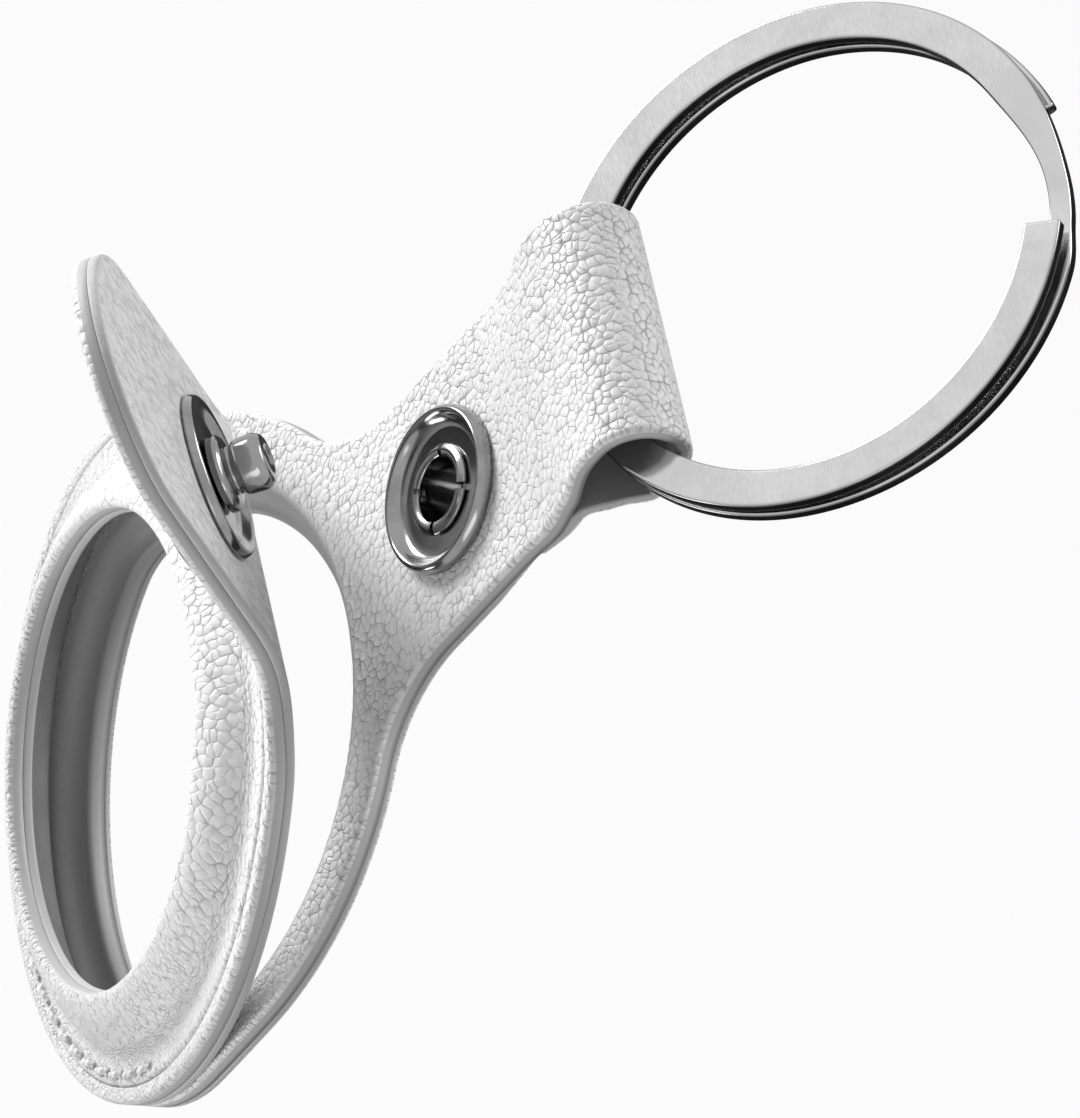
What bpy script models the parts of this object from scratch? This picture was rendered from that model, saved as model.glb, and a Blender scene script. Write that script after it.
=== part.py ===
"""Tracker tag keychain: a leather tag pocket with a snap tab, hung by a strap loop from a split ring.

Units are metres, +Z is up and -Y is the front, the side on which the pocket opens.
The origin is the top of the split ring's inner edge, where a hook or a finger holds it.
Each leather piece is modelled as it lies in the closed keychain, with the centre of the
pocket's opening at zero.  Empties on the flex lines then turn it to the resting pose.
"""
import math

import bmesh
import bpy
import numpy as np
from mathutils import Matrix, Vector

MM = 0.001

# Leather pocket
RING_OUTER_R = 20.5 * MM
OPENING_R = 13.9 * MM
POCKET_R = 16.6 * MM
DOME_RISE = 2.6 * MM
BACK_FOOT_R = 17.4 * MM
BACK_DOME_W = 2.1 * MM
BACK_DOME_RISE = 1.6 * MM
FACE_PLY = 0.9 * MM
LINING_PLY = 0.4 * MM
PLY_GAP = 0.2 * MM
POCKET_GAP = 0.3 * MM
SPLIT_GAP = 0.3 * MM

# Strap, its loop and the tab
STRAP_W = 16.2 * MM
FLARE_R = 9.0 * MM
STRAP_BEND_START = 18.5 * MM
STRAP_BEND_LENGTH = 6.6 * MM
STRAP_BEND = math.radians(4.5)
LOOP_AXIS_UP = 42.0 * MM
LOOP_AXIS_BACK = 1.75 * MM
LOOP_STRETCH = 0.7 * MM
LOOP_SIDE = 1.8 * MM
LOOP_TAPER = 5.0 * MM
RETURN_LAP = 1.7 * MM
WIRE_CLEARANCE = 0.15 * MM
TAB_BEYOND_STUD = 18.5 * MM
TAB_ROOT_GAP = 0.8 * MM

# Snap fastener
SOCKET_UP = 27.8 * MM
SNAP_R = 5.0 * MM
SOCKET_RECESS_R = 3.8 * MM
STUD_RECESS_R = 3.6 * MM
SOCKET_RIM_H = 1.1 * MM
STUD_RIM_H = 0.8 * MM
SNAP_PLATE = 0.35 * MM
SNAP_CLEARANCE = 0.3 * MM
SNAP_ROLL = 0.25 * MM
SEAT = 0.2 * MM
STUD_HEAD_R = 1.6 * MM
STUD_NECK_R = 1.25 * MM
STUD_HEAD_H = 1.2 * MM
STUD_H = 2.8 * MM
STUD_COLLAR_W = 0.9 * MM
STUD_COLLAR_H = 0.5 * MM
BORE_CLEARANCE = 0.35 * MM
COLLAR_WALL = 0.3 * MM
COLLAR_LIP_W = 0.45 * MM
COLLAR_LIP_H = 0.25 * MM
SLIT_W = 0.3 * MM
SLIT_COUNT = 4
CAP_R = 5.4 * MM
CAP_FACE_R = 3.2 * MM
CAP_H = 1.2 * MM
CAP_CROWN = 0.6 * MM
CAP_EASE = 0.18 * MM
CAP_RECESS = 0.6 * MM

# Split ring of flat wire
KEY_RING_OUTER_R = 16.0 * MM
WIRE_W = 2.3 * MM
WIRE_T = 0.8 * MM
WIRE_CHAMFER = 0.15 * MM
COIL_GAP = 0.42 * MM
JOGGLE = math.radians(38.0)
WIRE_END_GAP = math.radians(3.0)
WIRE_END_AT = math.radians(71.0)

# Stitches at the foot of the pocket
STITCH_COUNT = 9
STITCH_PITCH = 2.0 * MM
THREAD_R = 0.2 * MM
THREAD_RISE = 0.15 * MM

# Resting pose, as angles from the closed keychain
POCKET_OPEN = math.radians(16.5)
POCKET_OPEN_MAX = math.radians(30.0)
TAB_OPEN = math.radians(36.0)
FLEX_BELOW_CENTRE = 1.0 * MM
HANG_TILT = math.radians(11.6)
KEY_RING_LEAN = math.radians(30.0)

RING_SEGMENTS = 48
DOME_STEPS = 3
SNAP_SEGMENTS = 24
LOOP_STEPS = 8
SWAY_STEPS = 5
STRAP_BEND_STEPS = 3
WIRE_STEPS = 96
STITCH_STEPS = 4

# Sizes that follow from the ones above
LEATHER = FACE_PLY + PLY_GAP + LINING_PLY
HALF_GAP = POCKET_GAP / 2
HALF_SPLIT = SPLIT_GAP / 2
KEY_RING_INNER_R = KEY_RING_OUTER_R - WIRE_W
KEY_RING_MID_R = KEY_RING_OUTER_R - WIRE_W / 2
COIL_PITCH = WIRE_T + COIL_GAP
KEY_RING_T = WIRE_T + COIL_PITCH
TAB_STANDOFF = SOCKET_RIM_H + STUD_RIM_H + SNAP_CLEARANCE
BORE_R = STUD_HEAD_R + BORE_CLEARANCE
COLLAR_R = BORE_R + COLLAR_WALL
SNAP_FLOOR = SEAT + SNAP_PLATE
RIVET_FOOT = -LEATHER - CAP_RECESS
STITCH_R = (RING_OUTER_R + POCKET_R + LEATHER) / 2
FLEX_POINT = Vector((0, -FLEX_BELOW_CENTRE))

FINISHES = {
    "leather": ((0.86, 0.86, 0.85, 1), 0.55, 0.0),
    "lining": ((0.62, 0.62, 0.61, 1), 0.8, 0.0),
    "thread": ((0.8, 0.8, 0.79, 1), 0.7, 0.0),
    "gunmetal": ((0.22, 0.22, 0.23, 1), 0.25, 1.0),
    "nickel": ((0.62, 0.62, 0.63, 1), 0.18, 1.0),
}


def clear_scene():
    for obj in list(bpy.data.objects):
        bpy.data.objects.remove(obj, do_unlink=True)


def make_collection(name):
    collection = bpy.data.collections.new(name)
    bpy.context.scene.collection.children.link(collection)
    return collection


def make_material(node_name, finish):
    colour, roughness, metallic = FINISHES[finish]
    material = bpy.data.materials.new(node_name + "_" + finish)
    material.use_nodes = True
    shader = material.node_tree.nodes["Principled BSDF"]
    shader.inputs["Base Color"].default_value = colour
    shader.inputs["Roughness"].default_value = roughness
    shader.inputs["Metallic"].default_value = metallic
    return material


def link_object(name, data, collection):
    obj = bpy.data.objects.new(name, data)
    collection.objects.link(obj)
    return obj


def as_cutter(obj):
    obj.hide_render = True
    obj.display_type = "WIRE"
    return obj


def bake(obj):
    """Replace an object by the plain closed mesh of what its curve or modifiers make."""
    bpy.context.view_layer.update()
    depsgraph = bpy.context.evaluated_depsgraph_get()
    mesh = bpy.data.meshes.new_from_object(obj.evaluated_get(depsgraph), depsgraph=depsgraph)
    name, matrix, collection = obj.name, obj.matrix_world.copy(), obj.users_collection[0]
    bpy.data.objects.remove(obj, do_unlink=True)
    bm = bmesh.new()
    bm.from_mesh(mesh)
    bmesh.ops.transform(bm, matrix=matrix, verts=bm.verts)
    bmesh.ops.remove_doubles(bm, verts=bm.verts, dist=0.002 * MM)
    bmesh.ops.recalc_face_normals(bm, faces=bm.faces)
    bm.to_mesh(mesh)
    bm.free()
    return link_object(name, mesh, collection)


def boolean(obj, tool, operation):
    modifier = obj.modifiers.new(operation.title(), "BOOLEAN")
    modifier.operation = operation
    modifier.object = as_cutter(tool)
    return bake(obj)


def turned(name, profile, collection, segments, frame):
    """Turn a (radius, height) profile about the frame's Z axis."""
    mesh = bpy.data.meshes.new(name)
    edges = [(i, (i + 1) % len(profile)) for i in range(len(profile))]
    if profile[0][0] == 0:
        edges.pop()
    mesh.from_pydata([(r, 0, h) for r, h in profile], edges, [])
    obj = link_object(name, mesh, collection)
    screw = obj.modifiers.new("Turn", "SCREW")
    screw.axis = "Z"
    screw.angle = math.tau
    screw.steps = segments
    screw.render_steps = segments
    screw.use_merge_vertices = True
    screw.merge_threshold = 0.001 * MM
    obj.matrix_world = frame
    return bake(obj)


def flat_sheet(name, outline, low, high, collection, frame):
    """A flat (x, y) outline of the frame, as a plate from height low to height high."""
    curve = bpy.data.curves.new(name, "CURVE")
    curve.dimensions = "2D"
    curve.fill_mode = "BOTH"
    curve.extrude = (high - low) / 2
    spline = curve.splines.new("POLY")
    spline.points.add(len(outline) - 1)
    for point, (x, y) in zip(spline.points, outline):
        point.co = (x, y, 0, 1)
    spline.use_cyclic_u = True
    obj = link_object(name, curve, collection)
    obj.matrix_world = frame @ Matrix.Translation((0, 0, (low + high) / 2))
    return bake(obj)


def block(name, size, centre, collection, turn=0.0, pivot=(0, 0, 0)):
    """A box cutter, turned about an X axis through its pivot."""
    mesh = bpy.data.meshes.new(name)
    bm = bmesh.new()
    bmesh.ops.create_cube(bm, size=1.0)
    bmesh.ops.scale(bm, vec=Vector(size), verts=bm.verts)
    bmesh.ops.translate(bm, vec=Vector(centre), verts=bm.verts)
    bmesh.ops.rotate(bm, cent=Vector(pivot), matrix=Matrix.Rotation(turn, 3, "X"), verts=bm.verts)
    bm.to_mesh(mesh)
    bm.free()
    return as_cutter(link_object(name, mesh, collection))


def drill(name, radius, frame, collection):
    """A round cutter along the frame's Z axis, much longer than the leather is thick."""
    mesh = bpy.data.meshes.new(name)
    bm = bmesh.new()
    bmesh.ops.create_cone(bm, cap_ends=True, segments=SNAP_SEGMENTS, radius1=radius, radius2=radius,
                          depth=2 * SNAP_R, matrix=frame)
    bm.to_mesh(mesh)
    bm.free()
    return as_cutter(link_object(name, mesh, collection))


def arc(centre, radius, start, end, count):
    """Points on an arc between two angles in radians, both ends included."""
    points = []
    for i in range(count + 1):
        a = start + (end - start) * i / count
        points.append((centre[0] + radius * math.cos(a), centre[1] + radius * math.sin(a)))
    return points


def offset_line(points, distance):
    """Offset an open line to its right-hand side, with mitred corners."""
    result = []
    for i, point in enumerate(points):
        normals = []
        for a, b in ((i - 1, i), (i, i + 1)):
            if a >= 0 and b < len(points):
                run = (Vector(points[b]) - Vector(points[a])).normalized()
                normals.append(Vector((run.y, -run.x)))
        middle = sum(normals, Vector((0, 0))).normalized()
        mitre = distance / middle.dot(normals[0])
        result.append((point[0] + middle.x * mitre, point[1] + middle.y * mitre))
    return result


def rim_frame(side):
    """Local Z points out of the pocket: to the front for side 1, to the back for side -1."""
    return Matrix.Rotation(side * math.radians(90), 4, "X")


def pocket_line(side):
    """The side of a pocket half that faces the tag, from the rim inwards to the opening."""
    foot, width, rise = POCKET_R, POCKET_R - OPENING_R, DOME_RISE
    if side == -1:
        foot, width, rise = BACK_FOOT_R, BACK_DOME_W, BACK_DOME_RISE
    line = [(RING_OUTER_R, HALF_GAP)]
    for step in range(DOME_STEPS + 1):
        a = math.radians(90) * step / DOME_STEPS
        line.append((foot - width * (1 - math.cos(a)), HALF_GAP + rise * math.sin(a)))
    return line


def pocket_ply(name, low, high, collection, side):
    """One ply of a pocket half: a flat rim that rises in a shallow dome to the opening."""
    inner = offset_line(pocket_line(side), low)
    outer = offset_line(pocket_line(side), high)
    return turned(name, inner + outer[::-1], collection, RING_SEGMENTS, rim_frame(side))


def flare_centre():
    x = STRAP_W / 2 + FLARE_R
    return x, math.sqrt((RING_OUTER_R + FLARE_R) ** 2 - x ** 2)


def flare_points(low, high):
    """The concave fillet between the rim and the strap's side, between two heights."""
    x, y = flare_centre()
    start = math.pi + math.asin((y - low) / FLARE_R)
    end = math.pi + math.asin((y - min(high, y)) / FLARE_R)
    return arc((x, y), FLARE_R, start, end, 6)


def mirrored(right):
    """Close a right-hand outline with its mirror image."""
    return right + [(-x, y) for x, y in reversed(right) if x > 1e-9]


def tongue(name, length, low, high, side, collection):
    """The flat leather that grows from the rim with its fillets, up to a height."""
    x, y = flare_centre()
    rim_share = RING_OUTER_R / (RING_OUTER_R + FLARE_R)
    right = arc((0, 0), STITCH_R, math.radians(90), math.atan2(y, x), 5)
    right += flare_points(y * rim_share, length)
    if length > y:
        right.append((STRAP_W / 2, length))
    upright = Matrix.Rotation(math.radians(90), 4, "X")
    depths = sorted((side * (HALF_GAP + low), side * (HALF_GAP + high)))
    return flat_sheet(name, mirrored(right), depths[0], depths[1], collection, upright)


def wire_under_strap():
    """Distances from the key ring's centre between which its wire lies inside the loop."""
    return math.sqrt(KEY_RING_INNER_R ** 2 - (STRAP_W / 2) ** 2), KEY_RING_OUTER_R


def loop_inner_r():
    """Half height of the loop, which clears the leaned wire over the strap's whole width."""
    near, far = wire_under_strap()
    across = (far - near) / 2 * math.sin(KEY_RING_LEAN) + KEY_RING_T / 2 * math.cos(KEY_RING_LEAN)
    return across + WIRE_CLEARANCE


STRAP_ALONG = Vector((-math.sin(STRAP_BEND), math.cos(STRAP_BEND)))
STRAP_BACK = Vector((STRAP_ALONG.y, -STRAP_ALONG.x))


def bend_points():
    """Side view (back, up) of the pocket's mid plane, up to where the strap runs straight."""
    points = [Vector((0, 0)), Vector((0, STRAP_BEND_START))]
    step = STRAP_BEND_LENGTH / STRAP_BEND_STEPS
    for i in range(STRAP_BEND_STEPS):
        a = STRAP_BEND * (i + 0.5) / STRAP_BEND_STEPS
        points.append(points[-1] + Vector((-math.sin(a), math.cos(a))) * step)
    return points


def on_strap(back, up):
    """A side-view point at a distance up the strap and behind its mid plane."""
    past_bend = up - STRAP_BEND_START - STRAP_BEND_LENGTH
    return bend_points()[-1] + STRAP_ALONG * past_bend + STRAP_BACK * back


def strap_line():
    """Side view of the strap's mid plane, carried round the loop and down its lap."""
    points = bend_points()
    outer_r = loop_inner_r() + FACE_PLY + HALF_GAP
    front = LOOP_AXIS_BACK - outer_r
    rear = LOOP_AXIS_BACK + outer_r
    lap = 2 * FACE_PLY + PLY_GAP + 2 * HALF_GAP
    side_foot = LOOP_AXIS_UP - LOOP_SIDE
    for i in range(SWAY_STEPS + 1):
        share = (1 - math.cos(math.pi * i / SWAY_STEPS)) / 2
        points.append(on_strap(front * share, side_foot - LOOP_TAPER * (1 - i / SWAY_STEPS)))
    for x, y in arc((LOOP_AXIS_BACK, LOOP_AXIS_UP + LOOP_STRETCH), outer_r, math.pi, 0, LOOP_STEPS):
        points.append(on_strap(x, y))
    for i in range(SWAY_STEPS + 1):
        share = (1 + math.cos(math.pi * i / SWAY_STEPS)) / 2
        points.append(on_strap(lap + (rear - lap) * share, side_foot - LOOP_TAPER * i / SWAY_STEPS))
    points.append(on_strap(lap, side_foot - LOOP_TAPER - RETURN_LAP))
    return points


def line_length(points):
    return sum((b - a).length for a, b in zip(points, points[1:]))


def bend_along(obj, points):
    """Bend a piece that was made flat and upright, so that its mid plane follows a side view."""
    stations = [0.0]
    runs = []
    for a, b in zip(points, points[1:]):
        stations.append(stations[-1] + (b - a).length)
        runs.append((b - a).normalized())
    normals = [Vector((run.y, -run.x)) for run in runs]
    bm = bmesh.new()
    bm.from_mesh(obj.data)
    for s in stations[1:-1]:
        cut = bm.verts[:] + bm.edges[:] + bm.faces[:]
        bmesh.ops.bisect_plane(bm, geom=cut, dist=0.001 * MM, plane_co=(0, 0, s), plane_no=(0, 0, 1))
    tolerance = 0.005 * MM
    for vert in bm.verts:
        depth, s = vert.co.y, vert.co.z
        if s <= stations[1] - tolerance:
            continue
        k = max(i for i in range(len(runs)) if stations[i] <= s + tolerance)
        normal = normals[k]
        if abs(s - stations[k]) <= tolerance:
            middle = (normals[k - 1] + normals[k]).normalized()
            normal = middle / middle.dot(normals[k])
        placed = points[k] + runs[k] * (s - stations[k]) + normal * depth
        vert.co = (vert.co.x, placed.x, placed.y)
    bm.to_mesh(obj.data)
    bm.free()
    return obj


def flex_cutter(name, side, collection):
    """Cuts a pocket half at the flex line: side 1 removes what is below it, side -1 what is above.

    The cut slants so that the two halves still clear each other when the pocket is wide open.
    """
    reach = 4 * RING_OUTER_R
    centre = (0, 0, -FLEX_BELOW_CENTRE - side * (reach / 2 - HALF_SPLIT))
    pivot = (0, 0, -FLEX_BELOW_CENTRE)
    return block(name, (reach, reach, reach), centre, collection, side * POCKET_OPEN_MAX / 2, pivot)


def plane_frame(point, facing):
    """A frame whose Z axis faces out of the strap's plane: 1 to the back, -1 to the front."""
    z = Vector((0, STRAP_BACK.x, STRAP_BACK.y)) * facing
    y = Vector((0, STRAP_ALONG.x, STRAP_ALONG.y))
    x = y.cross(z)
    return Matrix.Translation((0, point.x, point.y)) @ Matrix((x, y, z)).transposed().to_4x4()


def dish_profile(hole_r, rim_h, recess_r):
    """A round metal dish with a rolled rim and a floor that its rivet holds down."""
    return [(hole_r, SEAT), (SNAP_R - SNAP_ROLL, SEAT), (SNAP_R, SEAT + SNAP_ROLL),
            (SNAP_R, rim_h - SNAP_ROLL), (SNAP_R - SNAP_ROLL, rim_h), (recess_r + SNAP_ROLL, rim_h),
            (recess_r, rim_h - SNAP_ROLL), (recess_r - SNAP_ROLL / 2, SNAP_FLOOR), (hole_r, SNAP_FLOOR)]


def collar_profile():
    """The sleeve that grips the stud: its lip is flared over the dish's floor."""
    lip = SNAP_FLOOR + SEAT
    return [(BORE_R, RIVET_FOOT), (COLLAR_R, RIVET_FOOT), (COLLAR_R, lip), (COLLAR_R + COLLAR_LIP_W, lip),
            (COLLAR_R + COLLAR_LIP_W, lip + COLLAR_LIP_H / 2), (COLLAR_R, lip + COLLAR_LIP_H),
            (BORE_R, lip + COLLAR_LIP_H / 2)]


def cap_profile(recess_r):
    """A low cap with a flat face; a recess in its seat takes the end of the post."""
    shoulder = (CAP_R + CAP_FACE_R) / 2
    return [(0, CAP_RECESS), (recess_r, CAP_RECESS), (recess_r, 0), (CAP_R - SNAP_ROLL, 0),
            (CAP_R, SNAP_ROLL), (CAP_R, CAP_H - CAP_CROWN), (shoulder, CAP_H - CAP_EASE), (CAP_FACE_R, CAP_H),
            (0, CAP_H)]


def stud_profile():
    """A shank through the tab, a collar on the dish, a neck and a rounded head."""
    base = SNAP_FLOOR + SEAT
    tip = STUD_RIM_H + STUD_H
    edge = STUD_HEAD_R - STUD_NECK_R
    return [(0, RIVET_FOOT), (STUD_NECK_R, RIVET_FOOT), (STUD_NECK_R, base), (STUD_NECK_R + STUD_COLLAR_W, base),
            (STUD_NECK_R + STUD_COLLAR_W, base + STUD_COLLAR_H / 2), (STUD_NECK_R, base + STUD_COLLAR_H),
            (STUD_NECK_R, tip - STUD_HEAD_H), (STUD_HEAD_R, tip - STUD_HEAD_H + edge),
            (STUD_HEAD_R, tip - edge), (STUD_HEAD_R - edge, tip), (0, tip)]


def wire_section(collection):
    """The flat wire's chamfered section: its width is radial and its thickness axial."""
    c = WIRE_CHAMFER
    corner = [(WIRE_W / 2 - c, WIRE_T / 2), (WIRE_W / 2, WIRE_T / 2 - c)]
    right = [(x, -y) for x, y in corner] + corner[::-1]
    outline = right + [(-x, -y) for x, y in right]
    curve = bpy.data.curves.new("wire_section", "CURVE")
    curve.dimensions = "2D"
    spline = curve.splines.new("POLY")
    spline.points.add(len(outline) - 1)
    for point, (x, y) in zip(spline.points, outline):
        point.co = (x, y, 0, 1)
    spline.use_cyclic_u = True
    return as_cutter(link_object("wire_section", curve, collection))


def wire_route(steps):
    """Two turns in the frame's XY plane: the first in front, a joggle, the second behind it."""
    total = 2 * math.tau - JOGGLE - 2 * WIRE_END_GAP
    joggle_start = math.tau - JOGGLE - WIRE_END_GAP
    route = []
    for i in range(steps + 1):
        turn = total * i / steps
        share = min(1.0, max(0.0, (turn - joggle_start) / JOGGLE))
        height = COIL_PITCH / 2 * math.cos(math.pi * share)
        a = WIRE_END_AT - turn
        route.append((KEY_RING_MID_R * math.cos(a), KEY_RING_MID_R * math.sin(a), height))
    return route


def print_least_gap():
    """Least distance between the two turns, measured on points of the wire's corners."""
    steps = 8 * WIRE_STEPS
    centres = np.array(wire_route(steps))
    outward = centres * np.array((1, 1, 0)) / KEY_RING_MID_R
    faces = []
    for across in (-0.5, 0, 0.5):
        for up in (-0.5, 0.5):
            faces.append(centres + outward * across * WIRE_W + np.array((0, 0, up * WIRE_T)))
    half_turn = steps // 4
    least = min(np.linalg.norm(q[i + half_turn:] - p[i], axis=1).min()
                for p in faces for q in faces for i in range(0, steps - half_turn, 4))
    print("least gap between the ring's turns, mm:", round(float(least) / MM, 3))


def split_ring(name, collection):
    curve = bpy.data.curves.new(name, "CURVE")
    curve.dimensions = "3D"
    curve.twist_mode = "Z_UP"
    curve.bevel_mode = "OBJECT"
    curve.bevel_object = wire_section(bpy.data.collections["cutters"])
    curve.use_fill_caps = True
    print_least_gap()
    route = wire_route(WIRE_STEPS)
    spline = curve.splines.new("POLY")
    spline.points.add(len(route) - 1)
    for point, co in zip(spline.points, route):
        point.co = (*co, 1)
    return bake(link_object(name, curve, collection))


def sewing_thread(name, side, collection):
    """One thread along the sewn foot: it arches up at each stitch and dips at each stitch hole."""
    curve = bpy.data.curves.new(name, "CURVE")
    curve.dimensions = "3D"
    curve.bevel_depth = THREAD_R
    curve.bevel_resolution = 1
    curve.use_fill_caps = True
    count = STITCH_COUNT * STITCH_STEPS
    spline = curve.splines.new("POLY")
    spline.points.add(count)
    for i, point in enumerate(spline.points):
        a = STITCH_PITCH * (i - count / 2) / STITCH_STEPS / STITCH_R - math.radians(90)
        arch = THREAD_RISE * math.sin(math.pi * i / STITCH_STEPS) ** 2
        depth = HALF_GAP + LEATHER + SEAT + THREAD_R + arch
        point.co = (STITCH_R * math.cos(a), -side * depth, STITCH_R * math.sin(a), 1)
    return bake(link_object(name, curve, collection))


def make_body(name, parent, place, turn, collection):
    """An empty on a body's joint axis; what hangs from it turns with it."""
    empty = link_object(name, None, collection)
    empty.empty_display_size = SNAP_R
    empty.parent = parent
    empty.location = (0, place.x, place.y)
    empty.rotation_euler = (turn, 0, 0)
    return empty


def hang(obj, body, pivot, finish):
    """Give a piece its finish and hang it from its body, whose axis passes the pivot."""
    obj.data.materials.clear()
    obj.data.materials.append(make_material(obj.name, finish))
    obj.data.shade_smooth()
    obj.data.set_sharp_from_angle(angle=math.radians(35))
    obj.parent = body
    obj.location = (0, -pivot.x, -pivot.y)


def tab_face():
    """Side-view point of the closed tab's inner face at the stud."""
    return on_strap(HALF_GAP - TAB_STANDOFF, SOCKET_UP)


def tab_axis():
    """The tab turns on the middle of its root, just above the rim."""
    face = tab_face()
    root = face + STRAP_ALONG * ((RING_OUTER_R + SEAT - face.y) / STRAP_ALONG.y)
    return root - STRAP_BACK * (LEATHER / 2)


def front_line():
    """Side view of the pocket's mid plane that carries the front leather's stub to the tab's root."""
    foot = Vector((0, POCKET_R + LEATHER))
    reach = tab_axis() - foot
    outside = HALF_GAP + LEATHER / 2
    along = math.sqrt(reach.length_squared - outside ** 2)
    lean = math.atan2(-reach.x, reach.y) - math.atan2(outside, along)
    end = foot + Vector((-math.sin(lean), math.cos(lean))) * (along - TAB_ROOT_GAP)
    return [Vector((0, 0)), foot, end]


def tab_sheet(name, low, high, collection):
    """One ply of the tab, from its root at the rim to its round end beyond the stud."""
    x, y = flare_centre()
    root = (tab_axis() - tab_face()).dot(STRAP_ALONG)
    half = STRAP_W / 2
    right = [(px, py - SOCKET_UP) for px, py in flare_points(root + SOCKET_UP, y)]
    right += arc((0, TAB_BEYOND_STUD - half), half, 0, math.radians(90), 8)[:-1]
    outline = right + [(0, TAB_BEYOND_STUD)] + [(-px, py) for px, py in reversed(right)]
    return flat_sheet(name, outline, low, high, collection, plane_frame(tab_face(), -1))


def build_strap(body, pivot, parts, cutters):
    """The back half above the flex line, with the strap, its loop and the snap's socket."""
    line = strap_line()
    lap_end = LOOP_AXIS_UP - LOOP_SIDE - LOOP_TAPER - RETURN_LAP
    plies = (("strap_leather", 0, FACE_PLY, line_length(line)),
             ("strap_backing", FACE_PLY + PLY_GAP, LEATHER, lap_end - SPLIT_GAP))
    flat_socket = Matrix.Translation((0, 0, SOCKET_UP)) @ rim_frame(1)
    for name, low, high, length in plies:
        ply = pocket_ply(name, low, high, parts, -1)
        ply = boolean(ply, tongue(name + "_tongue", length, low, high, -1, cutters), "UNION")
        ply = boolean(ply, flex_cutter(name + "_foot", 1, cutters), "DIFFERENCE")
        ply = boolean(ply, drill(name + "_hole", COLLAR_R + SEAT, flat_socket, cutters), "DIFFERENCE")
        hang(bend_along(ply, line), body, pivot, "leather")

    socket = plane_frame(on_strap(HALF_GAP, SOCKET_UP), -1)
    dish = dish_profile(COLLAR_R + SEAT, SOCKET_RIM_H, SOCKET_RECESS_R)
    hang(turned("socket_dish", dish, parts, SNAP_SEGMENTS, socket), body, pivot, "gunmetal")
    cap_seat = plane_frame(on_strap(HALF_GAP + LEATHER + SEAT, SOCKET_UP), 1)
    collar = turned("socket_collar", collar_profile(), parts, SNAP_SEGMENTS, socket)
    for i in range(SLIT_COUNT):
        slit = block("slit_%d" % i, (2 * COLLAR_R, SLIT_W, 2 * SNAP_R), (COLLAR_R, 0, SNAP_R), cutters)
        slit.matrix_world = socket @ Matrix.Rotation(math.tau * (i + 0.5) / SLIT_COUNT, 4, "Z")
        collar = boolean(collar, slit, "DIFFERENCE")
    hang(collar, body, pivot, "gunmetal")
    cap = turned("socket_cap", cap_profile(COLLAR_R + SEAT), parts, SNAP_SEGMENTS, cap_seat)
    hang(cap, body, pivot, "gunmetal")


def build_pocket(body, pivot, parts, cutters):
    """The front half, sewn to the back half below the flex line."""
    plies = (("front_lining", 0, LINING_PLY, "lining"),
             ("front_leather", LINING_PLY + PLY_GAP, LEATHER, "leather"))
    line = front_line()
    for name, low, high, finish in plies:
        ply = pocket_ply(name, low, high, parts, 1)
        ply = boolean(ply, tongue(name + "_tongue", line_length(line), low, high, 1, cutters), "UNION")
        hang(bend_along(ply, line), body, pivot, finish)
    plies = (("foot_leather", 0, FACE_PLY), ("foot_backing", FACE_PLY + PLY_GAP, LEATHER))
    for name, low, high in plies:
        ply = pocket_ply(name, low, high, parts, -1)
        ply = boolean(ply, flex_cutter(name + "_top", -1, cutters), "DIFFERENCE")
        hang(ply, body, pivot, "leather")
    hang(sewing_thread("top_thread", 1, parts), body, pivot, "thread")
    hang(sewing_thread("bobbin_thread", -1, parts), body, pivot, "thread")


def build_tab(body, pivot, parts, cutters):
    """The tab with the snap's stud."""
    face = plane_frame(tab_face(), 1)
    plies = (("tab_lining", 0, LINING_PLY, "lining"),
             ("tab_leather", LINING_PLY + PLY_GAP, LEATHER, "leather"))
    for name, low, high, finish in plies:
        ply = tab_sheet(name, low, high, parts)
        ply = boolean(ply, drill(name + "_hole", STUD_NECK_R + SEAT, face, cutters), "DIFFERENCE")
        hang(ply, body, pivot, finish)
    dish = dish_profile(STUD_NECK_R + SEAT, STUD_RIM_H, STUD_RECESS_R)
    hang(turned("stud_dish", dish, parts, SNAP_SEGMENTS, face), body, pivot, "gunmetal")
    hang(turned("stud_post", stud_profile(), parts, SNAP_SEGMENTS, face), body, pivot, "gunmetal")
    outer = plane_frame(tab_face() - STRAP_BACK * (LEATHER + SEAT), -1)
    cap = turned("stud_cap", cap_profile(STUD_NECK_R + SEAT), parts, SNAP_SEGMENTS, outer)
    hang(cap, body, pivot, "gunmetal")


def build():
    clear_scene()
    parts = make_collection("tracker_tag_keychain")
    cutters = make_collection("cutters")

    ring_back = KEY_RING_LEAN - STRAP_BEND - HANG_TILT
    ring_up = Vector((math.sin(ring_back), math.cos(ring_back)))
    ring = split_ring("key_ring", parts)
    ring_body = make_body("ring_centre", None, -KEY_RING_INNER_R * ring_up, 0.0, parts)
    ring_body.rotation_euler = (math.radians(90) - ring_back, 0, 0)
    hang(ring, ring_body, Vector((0, 0)), "nickel")

    loop_place = -(KEY_RING_INNER_R + sum(wire_under_strap()) / 2) * ring_up
    loop_axis = on_strap(LOOP_AXIS_BACK, LOOP_AXIS_UP)
    strap_body = make_body("strap_swing_axis", None, loop_place, HANG_TILT, parts)
    build_strap(strap_body, loop_axis, parts, cutters)

    pocket_body = make_body("pocket_flex_axis", strap_body, FLEX_POINT - loop_axis, POCKET_OPEN, parts)
    build_pocket(pocket_body, FLEX_POINT, parts, cutters)

    axis = tab_axis()
    tab_body = make_body("tab_bend_axis", pocket_body, axis - FLEX_POINT, TAB_OPEN, parts)
    build_tab(tab_body, axis, parts, cutters)
    bpy.context.view_layer.update()


build()
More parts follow.
